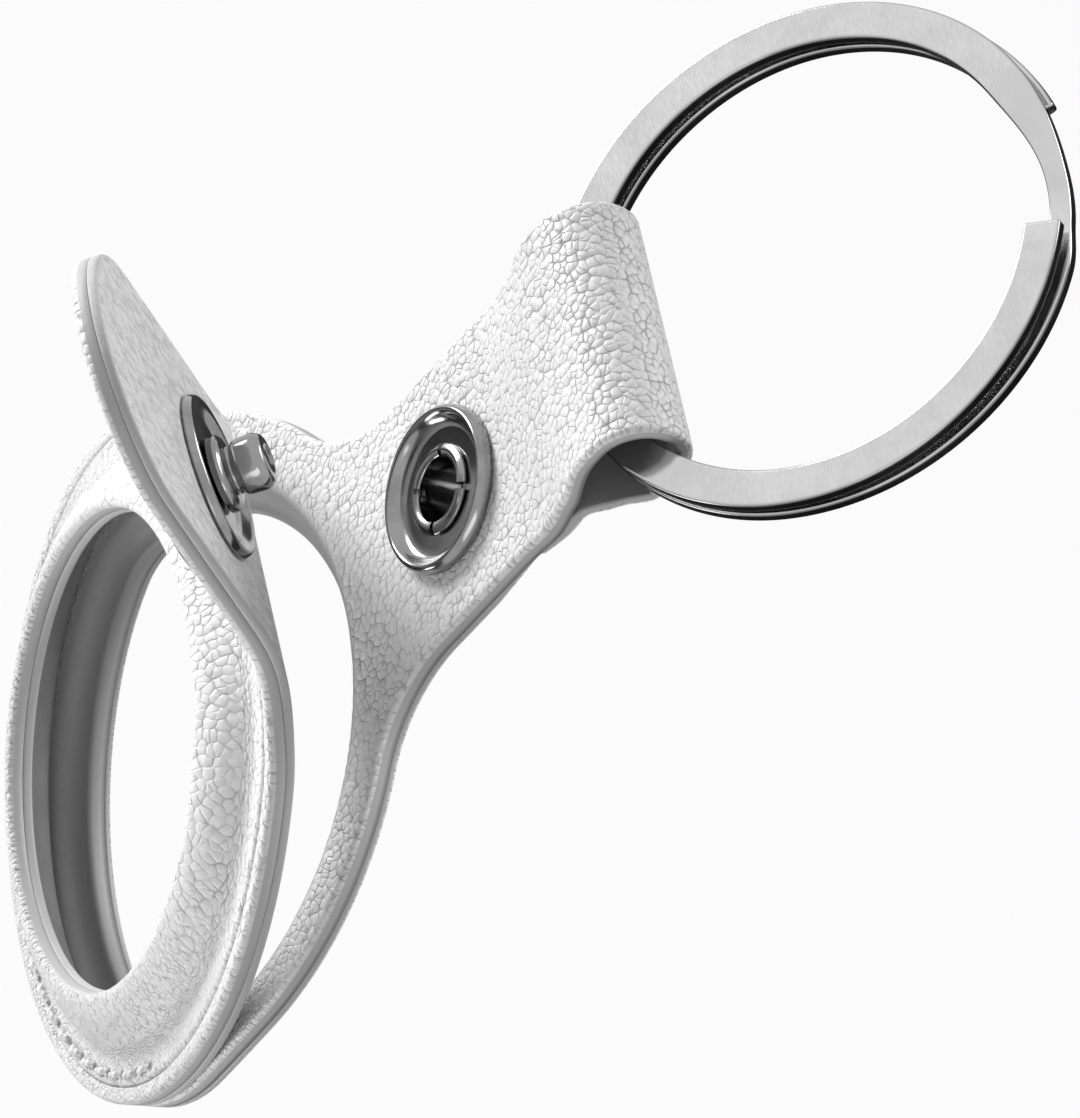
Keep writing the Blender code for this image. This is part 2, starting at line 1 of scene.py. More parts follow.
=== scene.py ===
# %% [markdown]
# A leather holder for a round tracker tag, hung from a split ring.
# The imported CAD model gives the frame: where each body is, and how it may move.
# This lesson dresses that frame with finer pieces, materials, light and a camera.

# %% Load the frame
import math

import bmesh
import bpy
import numpy as np
from mathutils import Matrix, Vector
from mathutils.geometry import delaunay_2d_cdt


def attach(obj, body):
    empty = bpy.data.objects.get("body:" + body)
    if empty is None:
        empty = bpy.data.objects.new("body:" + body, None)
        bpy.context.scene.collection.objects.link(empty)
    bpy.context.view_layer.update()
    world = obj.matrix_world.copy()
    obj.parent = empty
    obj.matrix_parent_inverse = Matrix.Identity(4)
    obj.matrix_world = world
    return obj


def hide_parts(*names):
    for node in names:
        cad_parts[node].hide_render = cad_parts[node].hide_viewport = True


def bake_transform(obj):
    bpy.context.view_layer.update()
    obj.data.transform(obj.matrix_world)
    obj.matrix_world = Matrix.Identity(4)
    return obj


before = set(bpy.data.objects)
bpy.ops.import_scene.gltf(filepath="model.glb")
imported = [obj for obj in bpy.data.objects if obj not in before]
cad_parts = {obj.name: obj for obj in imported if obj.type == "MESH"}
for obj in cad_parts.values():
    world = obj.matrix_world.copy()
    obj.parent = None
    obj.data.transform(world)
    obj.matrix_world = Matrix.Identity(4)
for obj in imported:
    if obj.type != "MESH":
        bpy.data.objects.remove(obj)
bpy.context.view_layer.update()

MM = 0.001

# %% [markdown]
# The camera comes first, because it decides what the picture shows.
# Its place and its three directions were fitted to circles and edges that can be seen in the photograph.
# It stands far off and looks through a long lens, so the object shows almost no perspective.

# %% Camera
RIGHT = Vector((0.18981, 0.64157, 0.74321))
DOWN = Vector((0.80780, 0.32821, -0.48963))
FORWARD = RIGHT.cross(DOWN)
CAMERA_PLACE = Vector((615.87, -759.39, 461.34)) * MM
FOCAL_PIXELS = 19138.2
FRAME_LONG_SIDE = 1118

lens = bpy.data.cameras.new("camera")
lens.sensor_width = 36.0
lens.lens = FOCAL_PIXELS / FRAME_LONG_SIDE * lens.sensor_width
lens.clip_start = 0.01
lens.clip_end = 20.0
camera = bpy.data.objects.new("camera", lens)
axes = Matrix((RIGHT, -DOWN, -FORWARD)).transposed().to_4x4()
camera.matrix_world = Matrix.Translation(CAMERA_PLACE) @ axes
bpy.context.scene.collection.objects.link(camera)
bpy.context.scene.camera = camera
print("lens, mm:", round(lens.lens, 1), "distance, m:", round(CAMERA_PLACE.length, 3))

# %% [markdown]
# The leather was cut flat, pressed over a former and folded, so every leather piece starts as a flat pattern.
# A pattern point has three numbers: x across, s along the middle line, and e, its height within the leather.
# These are the sizes of the pattern, of the two pressed domes and of the folds.

# %% Sizes of the leather
RING_R = 20.5 * MM
STRAP_HALF = 8.1 * MM
FLARE_R = 9.0 * MM
BASE = 0.04 * MM
LEATHER = 1.5 * MM
FACE_PLY = 0.98 * MM
LINING = 0.46 * MM
PLY_SEAM = 0.02 * MM
FLEX_BELOW = 1.0 * MM
POCKET_OPEN = math.radians(16.5)
TAB_LEAN = math.radians(40.5)
STRAP_LEAN = math.radians(4.5)
HANG_TILT = math.radians(11.6)
RING_CENTRE = Vector((1.765, -67.679)) * MM
flare_x = STRAP_HALF + FLARE_R
flare_s = math.sqrt((RING_R + FLARE_R) ** 2 - flare_x ** 2)
print("the strap leaves the round rim at height, mm:", round(flare_s * RING_R / (RING_R + FLARE_R) / MM, 2))

# %% [markdown]
# A pocket half is a flat rim that swells into a shallow dome round its opening.
# Two arcs that meet smoothly describe that swelling: the first lifts the leather, the second lays it flat again.
# Measuring along the arcs keeps the leather's length true, as on the real pressed piece.

# %% Dome profile
class Dome:
    def __init__(self, opening, foot_r, foot_turn, crown_r, lip_turn, centre=(0.0, 0.0)):
        self.foot_r, self.crown_r = foot_r, crown_r
        self.centre = centre
        self.turn, self.lip = math.radians(foot_turn), math.radians(lip_turn)
        self.width = foot_r * math.sin(self.turn) + crown_r * (math.sin(self.turn) - math.sin(self.lip))
        self.flat_r = opening + self.width
        self.foot_length = foot_r * self.turn
        self.length = self.foot_length + crown_r * (self.turn - self.lip)
        self.lip_rho = self.flat_r - self.length

    def at(self, rho):
        """Radius, height and slope of the inner side, at a pattern radius."""
        t = np.clip(self.flat_r - rho, 0, self.length)
        a1 = np.minimum(t, self.foot_length) / self.foot_r
        a2 = self.turn - np.maximum(t - self.foot_length, 0) / self.crown_r
        on_foot = t <= self.foot_length
        r = self.flat_r - self.foot_r * np.sin(a1) - np.where(
            on_foot, 0, self.crown_r * (math.sin(self.turn) - np.sin(a2)))
        h = self.foot_r * (1 - np.cos(a1)) + np.where(on_foot, 0, self.crown_r * (np.cos(a2) - math.cos(self.turn)))
        slope = np.where(on_foot, a1, a2)
        return r + np.maximum(rho - self.flat_r, 0), h, slope

    def press(self, x, s, e):
        """Moves pattern points onto the pressed shape: across, along and out of the flat leather."""
        dx, ds = x - self.centre[0], s - self.centre[1]
        rho = np.maximum(np.hypot(dx, ds), 1e-9)
        r, h, slope = self.at(rho)
        grow = (r + np.sin(slope) * e) / rho
        return self.centre[0] + dx * grow, self.centre[1] + ds * grow, h + np.cos(slope) * e


front_dome = Dome(13.9 * MM, 2.6 * MM, 56, 3.2 * MM, 12)
back_dome = Dome(15.75 * MM, 1.1 * MM, 72, 1.7 * MM, 10, (0.7 * MM, -0.5 * MM))
for title, dome in (("front", front_dome), ("back", back_dome)):
    r, h, slope = dome.at(np.array([dome.lip_rho]))
    print(title, "dome rises", round(float(h[0]) / MM, 2), "mm over", round(dome.width / MM, 2), "mm")

# %% [markdown]
# The folds are drawn as side views: a line that the flat pattern follows.
# The line is stored as a table of places and leans against its own length, so that a point between can be looked up.
# The front one bends forward into the tab.  The back one runs from the foot up the strap, round the loop and down.

# %% Side lines
class SideLine:
    def __init__(self, points, start):
        self.points = np.array([tuple(p) for p in points])
        steps = np.linalg.norm(np.diff(self.points, axis=0), axis=1)
        self.s = start + np.concatenate(([0], np.cumsum(steps)))
        runs = np.gradient(self.points, self.s, axis=0)
        self.lean = np.unwrap(np.arctan2(-runs[:, 0], runs[:, 1]))

    def at(self, s):
        inside = np.clip(s, self.s[0], self.s[-1])
        lean = np.interp(inside, self.s, self.lean)
        back = np.interp(inside, self.s, self.points[:, 0]) - np.sin(lean) * (s - inside)
        up = np.interp(inside, self.s, self.points[:, 1]) + np.cos(lean) * (s - inside)
        return back, up, lean


def curve_points(start, turns, step=0.05 * MM):
    """A line from a start, made of (length, lean at its start, lean at its end) runs."""
    points = [Vector(start)]
    for length, lean_a, lean_b in turns:
        count = max(2, round(length / step))
        for i in range(count):
            lean = lean_a + (lean_b - lean_a) * (i + 0.5) / count
            points.append(points[-1] + Vector((-math.sin(lean), math.cos(lean))) * (length / count))
    return points


STRAP_BEND_START = 18.5 * MM
STRAP_BEND_LENGTH = 6.6 * MM
strap_start = curve_points((0, STRAP_BEND_START), [(STRAP_BEND_LENGTH, 0, STRAP_LEAN)])[-1]
along = Vector((-math.sin(STRAP_LEAN), math.cos(STRAP_LEAN)))
behind = Vector((along.y, -along.x))


def on_strap(back, up):
    """A side-view point at a distance up the strap and behind its middle plane."""
    return strap_start + along * (up - STRAP_BEND_START - STRAP_BEND_LENGTH) + behind * back


SOCKET_UP = 27.8 * MM
TAB_STANDOFF = 2.2 * MM
HALF_GAP = 0.15 * MM
tab_face = on_strap(HALF_GAP - TAB_STANDOFF, SOCKET_UP)
tab_root = tab_face + along * ((RING_R + 0.2 * MM - tab_face.y) / along.y)
tab_axis = tab_root - behind * (LEATHER / 2)
tab_along = Vector((-math.sin(TAB_LEAN), math.cos(TAB_LEAN)))
front_middle = -(HALF_GAP + LEATHER / 2)
corner = tab_axis + tab_along * ((front_middle - tab_axis.x) / tab_along.x)
FOLD_REACH = 3.6 * MM
fold_r = FOLD_REACH / math.tan(TAB_LEAN / 2)
fold_start = corner.y - FOLD_REACH
front_line = SideLine(curve_points((front_middle, fold_start), [(fold_r * TAB_LEAN, 0, TAB_LEAN)]), fold_start)
stud_s = float(front_line.s[-1]) + (tab_face - tab_root).length + (tab_axis - corner).length - FOLD_REACH
TAB_BEYOND_STUD = 18.5 * MM
tab_end_s = stud_s + TAB_BEYOND_STUD
print("tab fold radius, mm:", round(fold_r / MM, 2), "stud at", round(stud_s / MM, 2),
      "end at", round(tab_end_s / MM, 2))

# %% [markdown]
# The strap swells softly forward, turns over the split ring's wire in a half circle and comes back behind itself.
# A cosine gives the soft swelling, because it starts and ends without a kink.

# %% Strap, loop and foot
LOOP_UP, LOOP_BACK, LOOP_R = 42.0 * MM, 1.75 * MM, 3.313 * MM
LOOP_STRETCH, LOOP_SIDE, LOOP_TAPER, RETURN_LAP = 0.7 * MM, 1.8 * MM, 5.0 * MM, 1.7 * MM
LAP = 2.3 * MM
FRONT_TAPER, REAR_TAPER = 8.5 * MM, 3.2 * MM
SWAY = 40
side_foot = LOOP_UP - LOOP_SIDE
return_end = side_foot - LOOP_TAPER - RETURN_LAP


def eased(share):
    return (1 - math.cos(math.pi * min(1, max(0, share)))) / 2


def front_sway(up):
    """How far the strap's front layer has moved, at a height up the strap."""
    return (LOOP_BACK - LOOP_R) * eased((up - side_foot + FRONT_TAPER) / FRONT_TAPER)


line = curve_points((0, 2.0 * MM), [(16.5 * MM, 0, 0), (STRAP_BEND_LENGTH, 0, STRAP_LEAN)])
for i in range(SWAY + 1):
    up = side_foot - FRONT_TAPER * (1 - i / SWAY)
    line.append(on_strap(front_sway(up), up))
for i in range(SWAY + 1):
    a = math.pi * (1 - i / SWAY)
    line.append(on_strap(LOOP_BACK + LOOP_R * math.cos(a), LOOP_UP + LOOP_STRETCH + LOOP_R * math.sin(a)))
for i in range(SWAY + 1):
    up = side_foot - (side_foot - return_end) * i / SWAY
    beside = front_sway(up) + LAP
    swung = eased((up - side_foot + REAR_TAPER) / REAR_TAPER)
    line.append(on_strap(beside + (LOOP_BACK + LOOP_R - beside) * swung, up))
FLEX_TOP, FLEX_FOOT = 2.0 * MM, -4.0 * MM
foot = curve_points((0, 0), [(FLEX_TOP - FLEX_FOOT, POCKET_OPEN, 0)])
lift = Vector((0, FLEX_TOP)) - foot[-1]
foot = [point + lift for point in foot]
back_line = SideLine(foot[:-1] + line, FLEX_FOOT)
back_end_s = float(back_line.s[-1])
print("flat length of the back leather above its centre, mm:", round(back_end_s / MM, 1))

# %% [markdown]
# The last step of a pattern point's journey is from the side view into the hanging world.
# The front half also turns forward about the line where the pocket opens.

# %% From the pattern to the world
def turn_about(back, up, angle, pivot):
    c, s = math.cos(angle), math.sin(angle)
    db, du = back - pivot[0], up - pivot[1]
    return pivot[0] + db * c - du * s, pivot[1] + db * s + du * c


def to_world(x, back, up):
    y, z = turn_about(back, up, HANG_TILT, (0, 0))
    return np.stack([x, RING_CENTRE.x + y, RING_CENTRE.y + z], axis=-1)


def place_front(x, s, e):
    """Places pattern points of the front half and the tab; e grows towards the outside."""
    x, s, height = front_dome.press(x, s, e)
    back, up, lean = front_line.at(s)
    out = HALF_GAP + height + front_middle
    back, up = turn_about(back - np.cos(lean) * out, up - np.sin(lean) * out, POCKET_OPEN, (0, -FLEX_BELOW))
    return to_world(x, back, up)


def soft_step(value, start, length):
    share = np.clip((value - start) / length, 0, 1)
    return (1 - np.cos(np.pi * share)) / 2


LOOP_PUSH = 0.85 * MM


def loop_push(x, back, up):
    """The round wire presses the loop's middle forward, so its side edges stay further back by this much."""
    db, du = back - strap_start.x, up - strap_start.y
    height = db * along.x + du * along.y + STRAP_BEND_START + STRAP_BEND_LENGTH
    depth = db * behind.x + du * behind.y
    amount = LOOP_PUSH * soft_step(height, 32 * MM, 4.5 * MM) * (1 - soft_step(height, 38 * MM, 3.5 * MM))
    behind_lap = soft_step(depth, 1.6 * MM, 2.2 * MM) * (1 - 0.6 * soft_step(height, 40.5 * MM, 3 * MM))
    return amount * (1 - 0.9 * behind_lap) * (x / STRAP_HALF) ** 2


def place_back(x, s, e):
    """Places pattern points of the back half and the strap; e grows towards the back."""
    x, s, height = back_dome.press(x, s, e)
    back, up, lean = back_line.at(s)
    out = HALF_GAP + height
    back, up = back + np.cos(lean) * out, up + np.sin(lean) * out
    push = loop_push(x, back, up)
    return to_world(x, back + behind.x * push, up + behind.y * push)


def world_point(place, s, e):
    return Vector(place(np.array([0.0]), np.array([s]), np.array([e]))[0])


print("tab end in the world, mm:", [round(v / MM, 1) for v in world_point(place_front, tab_end_s, 0)])

# %% [markdown]
# The outline of a cut piece is a chain of arcs and straight sides.
# Each outline point carries its outward direction, so that rows can be laid at exact distances from the cut edge.
# Such rows make the rounded edge and the pressed crease line, which catch the light.

# %% Outline of a cut piece
SPACING = 0.32 * MM


def arc_run(cx, cs, radius, start, end, outward=1):
    count = max(2, round(abs(end - start) * radius / SPACING))
    rows = []
    for i in range(count):
        a = start + (end - start) * i / count
        n = (math.cos(a) * outward, math.sin(a) * outward)
        rows.append((cx + radius * math.cos(a), cs + radius * math.sin(a), *n))
    return rows


def straight_run(x0, s0, x1, s1):
    length = math.hypot(x1 - x0, s1 - s0)
    count = max(2, round(length / SPACING))
    n = ((s1 - s0) / length, -(x1 - x0) / length)
    return [(x0 + (x1 - x0) * i / count, s0 + (s1 - s0) * i / count, *n) for i in range(count)]


def cut_outline(length, corner_r):
    """Anticlockwise rows of x, s and outward direction, from the foot round to the end and back."""
    leave = math.atan2(flare_s, flare_x)
    half = STRAP_HALF
    rows = arc_run(0, 0, RING_R, -math.pi / 2, leave)
    rows += arc_run(flare_x, flare_s, FLARE_R, math.pi + leave, math.pi, -1)
    rows += straight_run(half, flare_s, half, length - corner_r)
    rows += arc_run(half - corner_r, length - corner_r, corner_r, 0, math.pi / 2)
    if corner_r < half:
        rows += straight_run(half - corner_r, length, corner_r - half, length)
    rows += arc_run(corner_r - half, length - corner_r, corner_r, math.pi / 2, math.pi)
    rows += straight_run(-half, length - corner_r, -half, flare_s)
    rows += arc_run(-flare_x, flare_s, FLARE_R, 0, -leave, -1)
    rows += arc_run(0, 0, RING_R, math.pi - leave, 3 * math.pi / 2)
    return np.array(rows)


def opening_outline(x, s, radius):
    count = round(math.tau * radius / SPACING)
    a = math.tau * np.arange(count) / count
    return np.stack([x + radius * np.cos(a), s + radius * np.sin(a), -np.cos(a), -np.sin(a)], axis=1)


front_cut = cut_outline(tab_end_s, STRAP_HALF)
back_cut = cut_outline(back_end_s, 0.15 * MM)
print("outline points:", len(front_cut), "front,", len(back_cut), "back")

# %% [markdown]
# A flat pattern is filled with triangles by a Delaunay net, which keeps every row of the edge as it is.
# The same net serves both faces of the leather.  The cut edge closes them into one solid.
# Each point keeps its pattern place as an attribute, so that grain and brushing follow the leather round its folds.

# %% Fill a pattern
EDGE_R = 0.3 * MM
TIGHT_R = 0.012 * MM
ROWS = np.array([0, 0.03, 0.09, 0.18, 0.3, 0.42, 0.58, 0.8, 0.93, 1.02, 1.1, 1.2, 1.36, 1.52, 1.7]) * MM


def inside(points, outline):
    """Whether each point lies in a closed outline, by counting the sides a ray crosses."""
    x0, s0 = outline[:, 0], outline[:, 1]
    x1, s1 = np.roll(x0, -1), np.roll(s0, -1)
    found = np.zeros(len(points), bool)
    for first in range(0, len(points), 4000):
        px = points[first:first + 4000, 0, None]
        ps = points[first:first + 4000, 1, None]
        spans = (s0 > ps) != (s1 > ps)
        crossing = x0 + (ps - s0) / np.where(s1 == s0, 1, s1 - s0) * (x1 - x0)
        found[first:first + 4000] = np.sum(spans & (px < crossing), axis=1) % 2 == 1
    return found


def fill_pattern(cut, dome, snap_s, snap_r):
    """Points, their distances from the cut edges, triangles, and the edge loops of a pattern with two round holes."""
    holes = ((*dome.centre, dome.lip_rho), (0, snap_s, snap_r))
    hole_loops = [opening_outline(*hole) for hole in holes]
    points, depths, edges, firsts = [], [], [], []
    for loop, rows in ((cut, ROWS), (hole_loops[0], ROWS), (hole_loops[1], (0, 0.25 * MM))):
        firsts.append(len(points))
        for depth in rows:
            first = len(points)
            points += [tuple(row[:2] - row[2:] * depth) for row in loop]
            depths += [ROWS[-1] if loop is hole_loops[1] else depth] * len(loop)
            edges += [(first + i, first + (i + 1) % len(loop)) for i in range(len(loop))]
    step = 0.42 * MM
    field = []
    for j in range(int((cut[:, 1].max() - cut[:, 1].min()) / (step * 0.866)) + 1):
        s = cut[:, 1].min() + j * step * 0.866
        field += [(-21 * MM + (i + 0.5 * (j % 2)) * step, s) for i in range(int(42 * MM / step) + 1)]
    field = np.array(field)
    keep_off = ROWS[-1] + 0.25 * MM
    inner_cut = np.column_stack([cut[:, :2] - cut[:, 2:] * keep_off, cut[:, 2:]])
    keep = inside(field, inner_cut)
    for (hole_x, hole_s, hole_r), off in zip(holes, (keep_off, 0.5 * MM)):
        keep &= np.hypot(field[:, 0] - hole_x, field[:, 1] - hole_s) > hole_r + off
    field = field[keep]
    points += [tuple(p) for p in field]
    depths += [ROWS[-1]] * len(field)
    scaled = [Vector((p[0] / MM, p[1] / MM)) for p in points]
    verts, _, faces, origins, _, _ = delaunay_2d_cdt(scaled, edges, [], 0, 1e-6)
    where = np.array([tuple(v) for v in verts]) * MM
    depth = np.array([depths[o[0]] if o else ROWS[-1] for o in origins])
    rim = np.concatenate([cut, hole_loops[0]])[:, :2]
    for first in range(0, len(where), 1000):
        gaps = where[first:first + 1000, None, :] - rim[None]
        nearest = np.sqrt((gaps ** 2).sum(axis=2).min(axis=1))
        depth[first:first + 1000] = np.minimum(depth[first:first + 1000], nearest)
    faces = np.array(faces)
    centres = where[faces].mean(axis=1)
    wanted = inside(centres, cut)
    for hole_x, hole_s, hole_r in holes:
        wanted &= np.hypot(centres[:, 0] - hole_x, centres[:, 1] - hole_s) > hole_r + 0.004 * MM
    lookup = {o: i for i, group in enumerate(origins) for o in group}
    loops = [[lookup[first + i] for i in range(len(loop))] for first, loop in zip(firsts, (cut, *hole_loops))]
    return where, depth, faces[wanted], loops


SLEEVE_HOLE_R = 2.3 * MM
PIN_HOLE_R = 1.3 * MM
front_net = fill_pattern(front_cut, front_dome, stud_s, PIN_HOLE_R)
back_net = fill_pattern(back_cut, back_dome, SOCKET_UP, SLEEVE_HOLE_R)
print("triangles in a face:", len(front_net[2]), "front,", len(back_net[2]), "back")

# %% [markdown]
# Between the faces the leather gets its thickness and its rounded arrises, a quarter circle each.
# A crease is pressed beside the edge: a narrow line, with a soft bead further in, and the finish paints shade into
# the line.
# Ends that are glued down are skived thin, and inside the loop the wire has worn the leather a little.
# The attribute cut_edge marks the painted edge, and reach is the distance outwards from the dome's foot.
# The attribute outer is 1 on the face with the greater height e, and 0 on the other.

# %% Make a ply
CREASE_AT, CREASE_W = 1.02 * MM, 0.08 * MM
BEAD_IN, BEAD_W, BEAD_SHARE = 0.34 * MM, 0.17 * MM, 0.35
LOOP_WEAR = (40.5 * MM, 59.8 * MM, 0.15 * MM)


def arris(depth, radius):
    inner = np.clip(radius - depth, 0, radius)
    return radius - np.sqrt(radius ** 2 - inner ** 2)


def make_ply(name, net, place, dome, low, high, low_r, high_r,
             grain_side=None, crease_high=0.0, thin_end=None, worn=None):
    """One ply between two heights.  thin_end is a length and the two cuts at its end; worn is a stretch and a cut."""
    where, depth, faces, loops = net
    near_outline = np.hypot(where[:, 0], where[:, 1]) > dome.flat_r - 1.0 * MM
    crease_and_shade = np.exp(-((depth - CREASE_AT) / CREASE_W) ** 2) * near_outline * (crease_high > 0)
    bead = np.exp(-((depth - CREASE_AT - BEAD_IN) / BEAD_W) ** 2) * near_outline
    top = high - arris(depth, high_r) + (BEAD_SHARE * bead - crease_and_shade) * crease_high
    bottom = low + arris(depth, low_r)
    if thin_end:
        length, from_low, from_high = thin_end
        near_end = np.clip(1 - (where[:, 1].max() - where[:, 1]) / length, 0, 1)
        bottom, top = bottom + from_low * near_end, top - from_high * near_end
    if worn:
        first, last, by = worn
        top = top - by * soft_step(where[:, 1], first, 2 * MM) * (1 - soft_step(where[:, 1], last, 1.5 * MM))
    count = len(where)
    x, s = np.tile(where[:, 0], 2), np.tile(where[:, 1], 2)
    e = np.concatenate([top, bottom])
    sides = [np.clip((0.35 if grain_side == side else 1.0) - depth / (0.3 * MM), 0, 1) for side in ("high", "low")]
    edge = np.concatenate(sides)
    mid_loops, next_index = [], 2 * count
    for loop in loops:
        x = np.concatenate([x, where[loop, 0]])
        s = np.concatenate([s, where[loop, 1]])
        e = np.concatenate([e, (top[loop] + bottom[loop]) / 2])
        edge = np.concatenate([edge, np.ones(len(loop))])
        mid_loops.append(list(range(next_index, next_index + len(loop))))
        next_index += len(loop)
    sheets = [tuple(f) for f in faces] + [tuple(int(v) + count for v in f[::-1]) for f in faces]
    for loop, middle in zip(loops, mid_loops):
        for i in range(len(loop)):
            j = (i + 1) % len(loop)
            a, b = int(loop[i]), int(loop[j])
            sheets.append((a, b, middle[j], middle[i]))
            sheets.append((middle[i], middle[j], b + count, a + count))
    mesh = bpy.data.meshes.new(name)
    mesh.from_pydata(place(x, s, e).tolist(), [], [tuple(int(v) for v in f) for f in sheets])
    bm = bmesh.new()
    bm.from_mesh(mesh)
    bmesh.ops.recalc_face_normals(bm, faces=bm.faces)
    open_edges = sum(1 for edge_ in bm.edges if len(edge_.link_faces) != 2)
    volume = bm.calc_volume(signed=True)
    if volume < 0:
        bmesh.ops.reverse_faces(bm, faces=bm.faces)
    bm.to_mesh(mesh)
    bm.free()
    mesh.shade_smooth()
    pattern = np.stack([x, s, e], axis=1)
    mesh.attributes.new("pattern", "FLOAT_VECTOR", "POINT").data.foreach_set("vector", pattern.ravel())
    mesh.attributes.new("cut_edge", "FLOAT", "POINT").data.foreach_set("value", edge)
    reach = np.hypot(x - dome.centre[0], s - dome.centre[1]) - dome.flat_r
    mesh.attributes.new("reach", "FLOAT", "POINT").data.foreach_set("value", reach)
    outer = np.concatenate([np.ones(count), np.zeros(count), np.full(len(x) - 2 * count, 0.5)])
    mesh.attributes.new("outer", "FLOAT", "POINT").data.foreach_set("value", outer)
    # The crease line is also stored for the finish, which paints shade into it.
    crease_shade = np.concatenate([crease_and_shade, np.zeros(len(x) - count)])
    mesh.attributes.new("crease_and_shade", "FLOAT", "POINT").data.foreach_set("value", crease_shade)
    obj = bpy.data.objects.new(name, mesh)
    bpy.context.scene.collection.objects.link(obj)
    print(name, len(mesh.polygons), "faces,", open_edges, "open edges,", round(abs(volume) * 1e9, 1), "mm3")
    return obj


front_skin = make_ply("front_skin", front_net, place_front, front_dome, LINING + PLY_SEAM, LEATHER,
                      TIGHT_R, EDGE_R + 0.08 * MM, "high", crease_high=0.2 * MM)
front_lining_skin = make_ply("front_lining_skin", front_net, place_front, front_dome, -HALF_GAP + BASE, LINING,
                             0.2 * MM, TIGHT_R)
back_skin = make_ply("back_skin", back_net, place_back, back_dome, -HALF_GAP + BASE, FACE_PLY,
                     EDGE_R, TIGHT_R, "low", thin_end=(4.6 * MM, 0.7 * MM, 0.0), worn=LOOP_WEAR)

# %% [markdown]
# The backing is a thinner leather, glued behind the back half and the strap, up to where the loop's end comes down.
# It has its own, shorter pattern.

# %% Backing
backing_cut = cut_outline(return_end - 0.05 * MM, 0.15 * MM)
backing_net = fill_pattern(backing_cut, back_dome, SOCKET_UP, SLEEVE_HOLE_R)
backing_skin = make_ply("backing_skin", backing_net, place_back, back_dome, FACE_PLY + PLY_SEAM, LEATHER,
                        TIGHT_R, 0.2 * MM, "high", thin_end=(5.0 * MM, 0.0, 0.4 * MM))

# %% [markdown]
# Snap parts, caps and the wire ring are metal, turned or drawn.  A turned piece is a profile spun about an axis.
# Real metal has no sharp corners, so each corner of a profile is replaced by a short curve first.

# %% Turned metal pieces
def rounded(profile, radii):
    """Replaces each corner of a closed profile by a short curve of about that radius."""
    result = []
    for i, (point, radius) in enumerate(zip(profile, radii)):
        p, a, b = (Vector(q) for q in (point, profile[i - 1], profile[(i + 1) % len(profile)]))
        if radius == 0:
            result.append(tuple(p))
            continue
        reach_a = min(radius, (a - p).length * 0.45)
        reach_b = min(radius, (b - p).length * 0.45)
        start, end = p + (a - p).normalized() * reach_a, p + (b - p).normalized() * reach_b
        result.append(tuple(start + (a - p) * 0.04))
        for k in range(6):
            t = k / 5
            q = start.lerp(p, t).lerp(p.lerp(end, t), t)
            result.append((q.x, q.y))
        result.append(tuple(end + (b - p) * 0.04))
    return result


def spin(profile, segments, frame_matrix, start=0.0, sweep=math.tau):
    """Spins a closed profile of (radius, height) points in mm, given anticlockwise, about the frame's Z axis."""
    bm = bmesh.new()
    full = abs(sweep - math.tau) < 1e-9
    rings = []
    for i in range(segments if full else segments + 1):
        a = start + sweep * i / segments
        rings.append([bm.verts.new((r * MM * math.cos(a), r * MM * math.sin(a), h * MM)) for r, h in profile])
    count = len(profile)
    for i in range(segments):
        here, there = rings[i], rings[(i + 1) % len(rings)]
        for k in range(count):
            j = (k + 1) % count
            bm.faces.new((here[k], here[j], there[j], there[k]))
    if not full:
        bm.faces.new(rings[0])
        bm.faces.new(rings[-1][::-1])
    bmesh.ops.remove_doubles(bm, verts=bm.verts, dist=0.0005 * MM)
    bmesh.ops.dissolve_degenerate(bm, edges=bm.edges, dist=0.0002 * MM)
    bmesh.ops.recalc_face_normals(bm, faces=bm.faces)
    bmesh.ops.transform(bm, matrix=frame_matrix, verts=bm.verts)
    return bm


def finish_mesh(name, parts):
    """Joins bmesh parts into one object at the origin, with smooth shading."""
    mesh = bpy.data.meshes.new(name)
    whole = bmesh.new()
    for part in parts:
        part.to_mesh(mesh)
        part.free()
        whole.from_mesh(mesh)
    whole.to_mesh(mesh)
    volume = whole.calc_volume(signed=True)
    whole.free()
    mesh.shade_smooth()
    mesh.set_sharp_from_angle(angle=math.radians(40))
    obj = bpy.data.objects.new(name, mesh)
    bpy.context.scene.collection.objects.link(obj)
    print(name, len(mesh.polygons), "faces,", round(volume * 1e9, 1), "mm3")
    return obj


def side_frame(point, lean, facing, open_turn=0.0):
    """A frame on a side-view point whose Z axis faces out of a leaning plane: 1 to the back, -1 to the front."""
    pose = Matrix.Translation((0, RING_CENTRE.x, RING_CENTRE.y)) @ Matrix.Rotation(HANG_TILT, 4, "X")
    if open_turn:
        to_flex = Matrix.Translation((0, 0, -FLEX_BELOW))
        pose = pose @ to_flex @ Matrix.Rotation(open_turn, 4, "X") @ to_flex.inverted()
    z = Vector((0, math.cos(lean), math.sin(lean))) * facing
    y = Vector((0, -math.sin(lean), math.cos(lean)))
    local = Matrix((y.cross(z), y, z)).transposed().to_4x4()
    return pose @ Matrix.Translation((0, point.x, point.y)) @ local


socket_frame = side_frame(on_strap(HALF_GAP, SOCKET_UP), STRAP_LEAN, -1)
socket_cap_frame = side_frame(on_strap(HALF_GAP + LEATHER + 0.2 * MM, SOCKET_UP), STRAP_LEAN, 1)
tab_behind = Vector((tab_along.y, -tab_along.x))
stud_face = tab_axis + tab_along * (tab_face - tab_root).length + tab_behind * (LEATHER / 2)
stud_frame = side_frame(stud_face, TAB_LEAN, 1, POCKET_OPEN)
stud_cap_frame = side_frame(stud_face - tab_behind * (LEATHER + 0.2 * MM), TAB_LEAN, -1, POCKET_OPEN)
print("stud centre, mm:", [round(v / MM, 2) for v in stud_frame.translation])

# %% [markdown]
# The socket is a pressed dish with a rolled rim.  The stud's dish is like it, a little lower.

